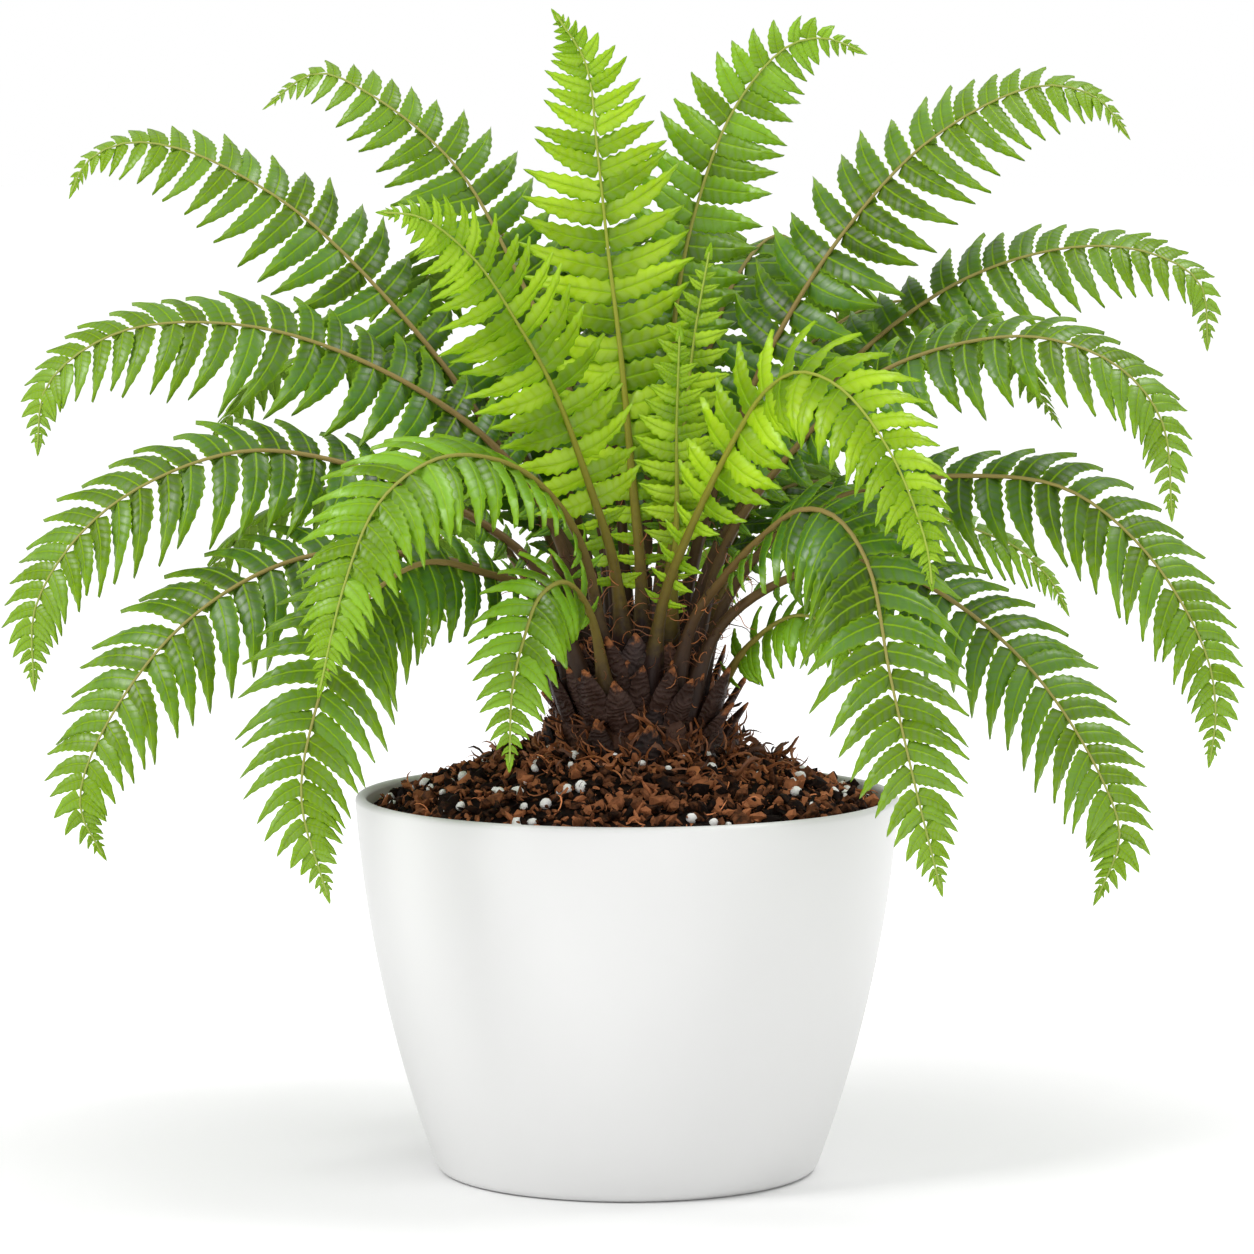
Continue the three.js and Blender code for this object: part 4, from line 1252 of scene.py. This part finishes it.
def leaflet_grain(pattern):
    """Along the leaflet from 0 to 1, and across it from 0 at one margin to 1 at the other"""
    across = np.where(np.abs(pattern[0][:, 1]) < 1e-4, 0.5, 0.5 + 0.5 * np.sign(pattern[0][:, 1]))
    return np.column_stack([pattern[0][:, 0], across])


def laid_leaflet(pattern, foot, direction, up, length, width, bow, hook, wave, rng):
    """A copy of the pattern laid along a direction, arched, hooked at its tip and waved across"""
    x, y, z = pattern[0].T
    across = unit(np.cross(up, direction))
    normal = np.cross(direction, across)
    ripple = wave * np.sin(x * rng.uniform(9, 14) + rng.uniform(0, 6)) * y * 2
    places = foot + np.outer(x * length, direction) + np.outer(y * width, across)
    places += np.outer((z + ripple) * width, normal)
    places += np.outer(np.sin(np.pi * x) * length, bow)
    places += np.outer(x ** 3 * length, hook)
    return places


# Random spread of a leaflet's angle and roll in degrees
ANGLE_SPREAD = 4
ROLL_SPREAD = 12

# Widths: of the small leaflets below the blade, as a share of their length, and of the teeth and the full
# leaflets, as a share of their spacing with the most as a share of their length
LOW_WIDTH = 0.56
TOOTH_WIDTH, MOST_TOOTH_WIDTH = 1.15, 0.7
LEAFLET_WIDTH, MOST_LEAFLET_WIDTH = {"mature": 0.98, "fresh": 1.08, "new": 1.08}, 0.5

# The small leaflets below the blade: the share of the stipe under them, the steps between them as a share of
# the blade's, and the share of them that have grown
LOWEST_PLACE = {"mature": 0.6, "fresh": 0.42, "new": 0.42}
LOWEST_PLACE_ON_SMALL = 0.8
LOW_STEP = 0.8
LOW_GROWN = 0.85


def add_leaflet(gather, stem, patterns, share, side_sign, length, spacing, rng):
    """One leaflet at a share of the frond's length; near the frond's tip it is a broad-footed tooth"""
    frond = stem.frond
    place = stem.blade_place(share)
    point, along, up, side = stem.frame_at(share)
    outward = side * side_sign
    angle = math.radians(PINNA_FOOT_ANGLE - PINNA_ANGLE_LOSS * max(place, 0)
                         + rng.uniform(-ANGLE_SPREAD, ANGLE_SPREAD))
    direction = along * math.cos(angle) + outward * math.sin(angle)
    young = frond.age == "new"
    droop = NEW_PINNA_DROOP if young else PINNA_DROOP
    direction[2] -= droop * (1 - along[2] ** 2) * max(1 - LOWER_ROW_DROOP * outward[2], LEAST_DROOP)
    direction = unit(direction)
    below = place < 0
    if below:
        width = length * LOW_WIDTH
    elif place > TOOTH_PLACE:
        width = min(spacing * TOOTH_WIDTH, length * MOST_TOOTH_WIDTH)
    else:
        width = min(spacing * LEAFLET_WIDTH[frond.age], length * MOST_LEAFLET_WIDTH)
    roll = math.radians(rng.uniform(-ROLL_SPREAD, ROLL_SPREAD))
    tilted = unit(up * math.cos(roll) + along * math.sin(roll) * side_sign)
    bow = up * 0.04 - along * 0.035
    hook = along * rng.uniform(0.06, 0.20) - up * rng.uniform(0.02, 0.10) - (0, 0, rng.uniform(0.05, 0.17))
    kind = "small" if below or length < SMALL_LEAFLET else "full"
    pattern = patterns["tooth" if place > TOOTH_PLACE else kind]
    wave = 0.08 if young else 0.04
    vertices = laid_leaflet(pattern, point, direction, tilted, length + stem.radius(share), width, bow, hook,
                            wave, rng)
    youth = 0.1 if below else min(max(place, 0) ** 2.5, 1) * (0.6 if young else 0.75)
    gather.add(vertices * MM, pattern[1], pattern[2], leaflet_grain(pattern), (rng.random(), youth, 0))


def add_leaflets(gather, stem, patterns, rng):
    """Both rows of leaflets along the blade, a few small ones below it, and the one at the frond's tip"""
    frond = stem.frond
    shares = stem.pair_shares()
    gaps = list(zip(shares, shares[1:]))
    for low, high in gaps:
        for side_sign in (1, -1):
            middle = (low + high) / 2 + rng.uniform(-0.1, 0.1) * (high - low)
            length = frond.reach * blade_share(stem.blade_place(middle)) * rng.uniform(0.94, 1.06)
            add_leaflet(gather, stem, patterns, middle, side_sign, length, (high - low) * stem.length, rng)
    step = gaps[0][1] - gaps[0][0]
    lowest = frond.bare * (LOWEST_PLACE_ON_SMALL if "small" in frond.name else LOWEST_PLACE[frond.age])
    share = frond.bare - step * 0.45
    while share > lowest:
        length = frond.reach * (0.20 + 0.20 * (share - lowest) / (frond.bare - lowest)) * rng.uniform(0.8, 1.2)
        for side_sign in (1, -1):
            if rng.random() < LOW_GROWN:
                add_leaflet(gather, stem, patterns, share, side_sign, length, step * 0.75 * stem.length, rng)
        share -= step * LOW_STEP
    point, along, up, _ = stem.frame_at(shares[-1] - 0.01)
    tip_length = stem.length * (1 - shares[-1]) + 5
    pattern = patterns["tooth"]
    vertices = laid_leaflet(pattern, point, along, up, tip_length, 3.0, up * 0, up * 0, 0.05, rng)
    gather.add(vertices * MM, pattern[1], pattern[2], leaflet_grain(pattern), (0.5, 0.8, 0))


# The stalk's sides and rings, how far each age takes the new fronds' stalk colours, and how much light
# each age's leaflets let through
STALK_SIDES = 8
STALK_RINGS = 46
STALK_GREEN = {"mature": 0.0, "fresh": 0.5, "new": 1.0}
LEAFLET_THINNESS = {"mature": 0.22, "fresh": 0.3, "new": 0.42}


def add_stalk(gather, stem):
    """The stipe and rachis, a tapering round stalk closed at both ends"""
    sides = STALK_SIDES
    rings = []
    shares = np.linspace(0, 0.995, STALK_RINGS)
    for share in shares:
        point, _, up, side = stem.frame_at(share)
        turns = np.arange(sides) * 2 * math.pi / sides
        ring = point + stem.radius(share) * (np.outer(np.cos(turns), side) + np.outer(np.sin(turns), up) * 0.9)
        rings.append(ring)
    vertices = np.vstack([*rings, stem.point_at(1)])
    faces = [tuple(range(sides))]
    for i in range(len(rings) - 1):
        for k in range(sides):
            a, b = i * sides + k, i * sides + (k + 1) % sides
            faces.append((a, a + sides, b + sides, b))
    last = (len(rings) - 1) * sides
    faces += [(last + k, len(vertices) - 1, last + (k + 1) % sides) for k in range(sides)]
    along = np.concatenate([np.repeat(shares, sides), [1]])
    gather.add(vertices * MM, faces, [2] * len(faces), np.column_stack([along, along * 0 + 0.5]),
               (0.5, STALK_GREEN[stem.frond.age], 0))


def make_frond(stem, patterns, leaf_materials):
    """One frond's stalk and leaflets as one piece"""
    gather = Gather()
    add_stalk(gather, stem)
    add_leaflets(gather, stem, patterns, random.Random(stem.frond.name))
    piece = smooth(gather.build(stem.frond.name.replace("frond_", "leafy_"), leaf_materials), 58)
    return finish_piece(piece, f"{stem.frond.age}_frond", stem.frond.name)


def back_frond(sizes):
    """A back frond's route from its few sizes: up, over its apex and down"""
    outward = heading(math.radians(sizes.bearing))
    seat_height = OUTER_SEAT_HEIGHT if sizes.seat > OUTER_SEAT_RADIUS else INNER_SEAT_HEIGHT
    rise, fall = sizes.apex - seat_height, sizes.apex - sizes.tip
    stations = (
        (sizes.seat, seat_height),
        (sizes.seat + 0.09 * sizes.span, seat_height + 0.42 * rise),
        (0.36 * sizes.span, seat_height + 0.85 * rise),
        (0.6 * sizes.span, sizes.apex),
        (0.84 * sizes.span, sizes.apex - 0.3 * fall),
        (sizes.span, sizes.tip),
    )
    route = [from_trunk_axis(outward, radius, height) for radius, height in stations]
    return Frond(sizes.name, "mature", route, (0.2 * outward[0], 0.2, 1), BACK_BARE, sizes.reach, BACK_PAIRS)


def leaflet_patterns(settings):
    """Toothed leaflets of old fronds, lobed ones of new fronds, and the broad-footed teeth at the tips"""
    teeth, thickness = settings.leaflet_lobes, settings.thickness
    tooth = leaflet_pattern(3, 1.0, 0.08, 0.07, thickness * 2)
    old = {"full": leaflet_pattern(teeth, 0.86, 0.14, 0.17, thickness),
           "small": leaflet_pattern(teeth - 3, 0.8, 0.12, 0.14, thickness), "tooth": tooth}
    new = {"full": leaflet_pattern(teeth - 1, 0.84, 0.20, 0.14, thickness),
           "small": leaflet_pattern(teeth - 3, 0.8, 0.18, 0.08, thickness), "tooth": tooth}
    return {"mature": old, "fresh": old, "new": new}


def frond_materials(settings, age):
    """Upper side, underside and stalk of a frond of that age, made once and shared"""
    stalk = bpy.data.materials.get("frond_stalk") or stalk_material()
    found = bpy.data.materials.get(f"{age}_leaflet")
    if found:
        return [found, bpy.data.materials[f"{age}_leaflet_under"], stalk]
    look = tuple(getattr(settings, age)), tuple(settings.tip), settings.leaflet_lobes, LEAFLET_THINNESS[age]
    return [leaflet_material(f"{age}_leaflet", *look, False),
            leaflet_material(f"{age}_leaflet_under", *look, True), stalk]


def make_fronds(settings, fronds):
    """Grows the fronds, each with its age's leaflets and materials"""
    patterns = leaflet_patterns(settings)
    return [make_frond(Stem(frond), patterns[frond.age], frond_materials(settings, frond.age)) for frond in fronds]


# Stage

# Lights: name, place and size in metres; the stage's setting of the same name is their power
LIGHTS = (("key", (-1.2, -0.9, 1.6), 0.6), ("top", (1.0, 0.1, 1.8), 0.6), ("front", (0.7, -2.2, 0.7), 0.9))
LIT_PLACE = (0, 0, 0.2)


def make_stage(settings):
    """White floor, white surroundings, soft lights and the camera"""
    deselect_all()
    bpy.ops.mesh.primitive_plane_add(size=60)
    floor = name_piece(bpy.context.object, "studio_floor")
    floor.data.materials.append(floor_material())

    scene = bpy.context.scene
    scene.view_settings.view_transform = "Standard"
    world = bpy.data.worlds.new("white_room")
    world.use_nodes = True
    nodes, links = world.node_tree.nodes, world.node_tree.links
    background = nodes["Background"]
    background.inputs["Color"].default_value = (1, 1, 1, 1)
    seen = nodes.new("ShaderNodeLightPath")
    strength = nodes.new("ShaderNodeMapRange")
    strength.inputs["To Min"].default_value = settings.sky
    strength.inputs["To Max"].default_value = 1
    links.new(seen.outputs["Is Camera Ray"], strength.inputs["Value"])
    links.new(strength.outputs["Result"], background.inputs["Strength"])
    scene.world = world

    for light in LIGHTS:
        add_light(*light, getattr(settings, light[0]))

    deselect_all()
    bpy.ops.object.camera_add(location=(0, -settings.distance, settings.height),
                              rotation=(math.pi / 2 - settings.pitch, 0, 0))
    camera = bpy.context.object
    camera.name = "camera"
    camera.data.sensor_width = 36
    camera.data.lens = settings.lens
    camera.data.clip_start = 0.01
    camera.data.clip_end = 100
    scene.camera = camera


def add_light(name, place, size, power):
    """A square soft light that looks at the plant's middle"""
    away = np.array(place) - LIT_PLACE
    tilt = math.atan2(math.hypot(away[0], away[1]), away[2])
    bpy.ops.object.light_add(type="AREA", location=place, rotation=(tilt, 0, math.atan2(away[0], -away[1])))
    light = bpy.context.object
    light.name = name
    light.data.size = size
    light.data.energy = power


# Operators

class FERN_OT_pot(bpy.types.Operator):
    """Turn the white pot and drill its drain holes"""
    bl_idname = "fern.pot"
    bl_label = "Pot"

    def execute(self, context):
        make_pot(context.scene.fern_pot)
        return {"FINISHED"}


class FERN_OT_mix(bpy.types.Operator):
    """Fill the pot with a mound of bark, coir and perlite"""
    bl_idname = "fern.mix"
    bl_label = "Potting mix"

    def execute(self, context):
        settings = context.scene.fern_mix
        mound_body(settings)
        loose_chips(settings)
        loose_strands(settings)
        perlite_beads(settings)
        return {"FINISHED"}


class FERN_OT_trunk(bpy.types.Operator):
    """Build the trunk from its core, old leaf bases and fibres"""
    bl_idname = "fern.trunk"
    bl_label = "Trunk"

    def execute(self, context):
        settings = context.scene.fern_trunk
        bark = bark_material(tuple(settings.dark), tuple(settings.worn), tuple(settings.rust))
        finish_piece(trunk_core(bark), "trunk", "trunk")
        stems = [Stem(frond) for frond in SHOWN_FRONDS]
        finish_piece(trunk_scales(settings, bark, stems), "trunk")
        skirt_shreds(settings)
        crown_fibres(settings, stems)
        return {"FINISHED"}


class FERN_OT_shown_fronds(bpy.types.Operator):
    """Grow the fronds that the front view shows one by one"""
    bl_idname = "fern.shown_fronds"
    bl_label = "Shown fronds"

    def execute(self, context):
        make_fronds(context.scene.fern_fronds, SHOWN_FRONDS)
        return {"FINISHED"}


class FERN_OT_back_fronds(bpy.types.Operator):
    """Grow the fronds behind the crown"""
    bl_idname = "fern.back_fronds"
    bl_label = "Back fronds"

    def execute(self, context):
        make_fronds(context.scene.fern_fronds, [back_frond(sizes) for sizes in BACK_FRONDS])
        return {"FINISHED"}


class FERN_OT_stage(bpy.types.Operator):
    """Set the floor, the light and the camera"""
    bl_idname = "fern.stage"
    bl_label = "Stage"

    def execute(self, context):
        make_stage(context.scene.fern_stage)
        return {"FINISHED"}


OPERATORS = (FERN_OT_pot, FERN_OT_mix, FERN_OT_trunk, FERN_OT_shown_fronds, FERN_OT_back_fronds, FERN_OT_stage)


class FERN_PT_parts(bpy.types.Panel):
    """Lists the fern's pieces and their settings"""
    bl_label = "Silver lady fern"
    bl_space_type = "VIEW_3D"
    bl_region_type = "UI"
    bl_category = "Fern"

    def draw(self, context):
        for operator in OPERATORS:
            self.layout.operator(operator.bl_idname)
        for name in SETTINGS:
            box = self.layout.box()
            group = getattr(context.scene, name)
            for key in group.bl_rna.properties.keys():
                if key not in ("rna_type", "name"):
                    box.prop(group, key)


SETTINGS = {
    "fern_pot": PotSettings,
    "fern_mix": MixSettings,
    "fern_trunk": TrunkSettings,
    "fern_fronds": FrondSettings,
    "fern_stage": StageSettings,
}


def register():
    for name, group in SETTINGS.items():
        bpy.utils.register_class(group)
        setattr(bpy.types.Scene, name, PointerProperty(type=group))
    for operator in OPERATORS:
        bpy.utils.register_class(operator)
    bpy.utils.register_class(FERN_PT_parts)


def unregister():
    bpy.utils.unregister_class(FERN_PT_parts)
    for operator in reversed(OPERATORS):
        bpy.utils.unregister_class(operator)
    for name, group in SETTINGS.items():
        delattr(bpy.types.Scene, name)
        bpy.utils.unregister_class(group)


def main():
    """Makes the stage and every piece"""
    register()
    bpy.ops.fern.stage()
    bpy.ops.fern.pot()
    bpy.ops.fern.mix()
    bpy.ops.fern.trunk()
    bpy.ops.fern.shown_fronds()
    bpy.ops.fern.back_fronds()


if __name__ == "__main__":
    main()
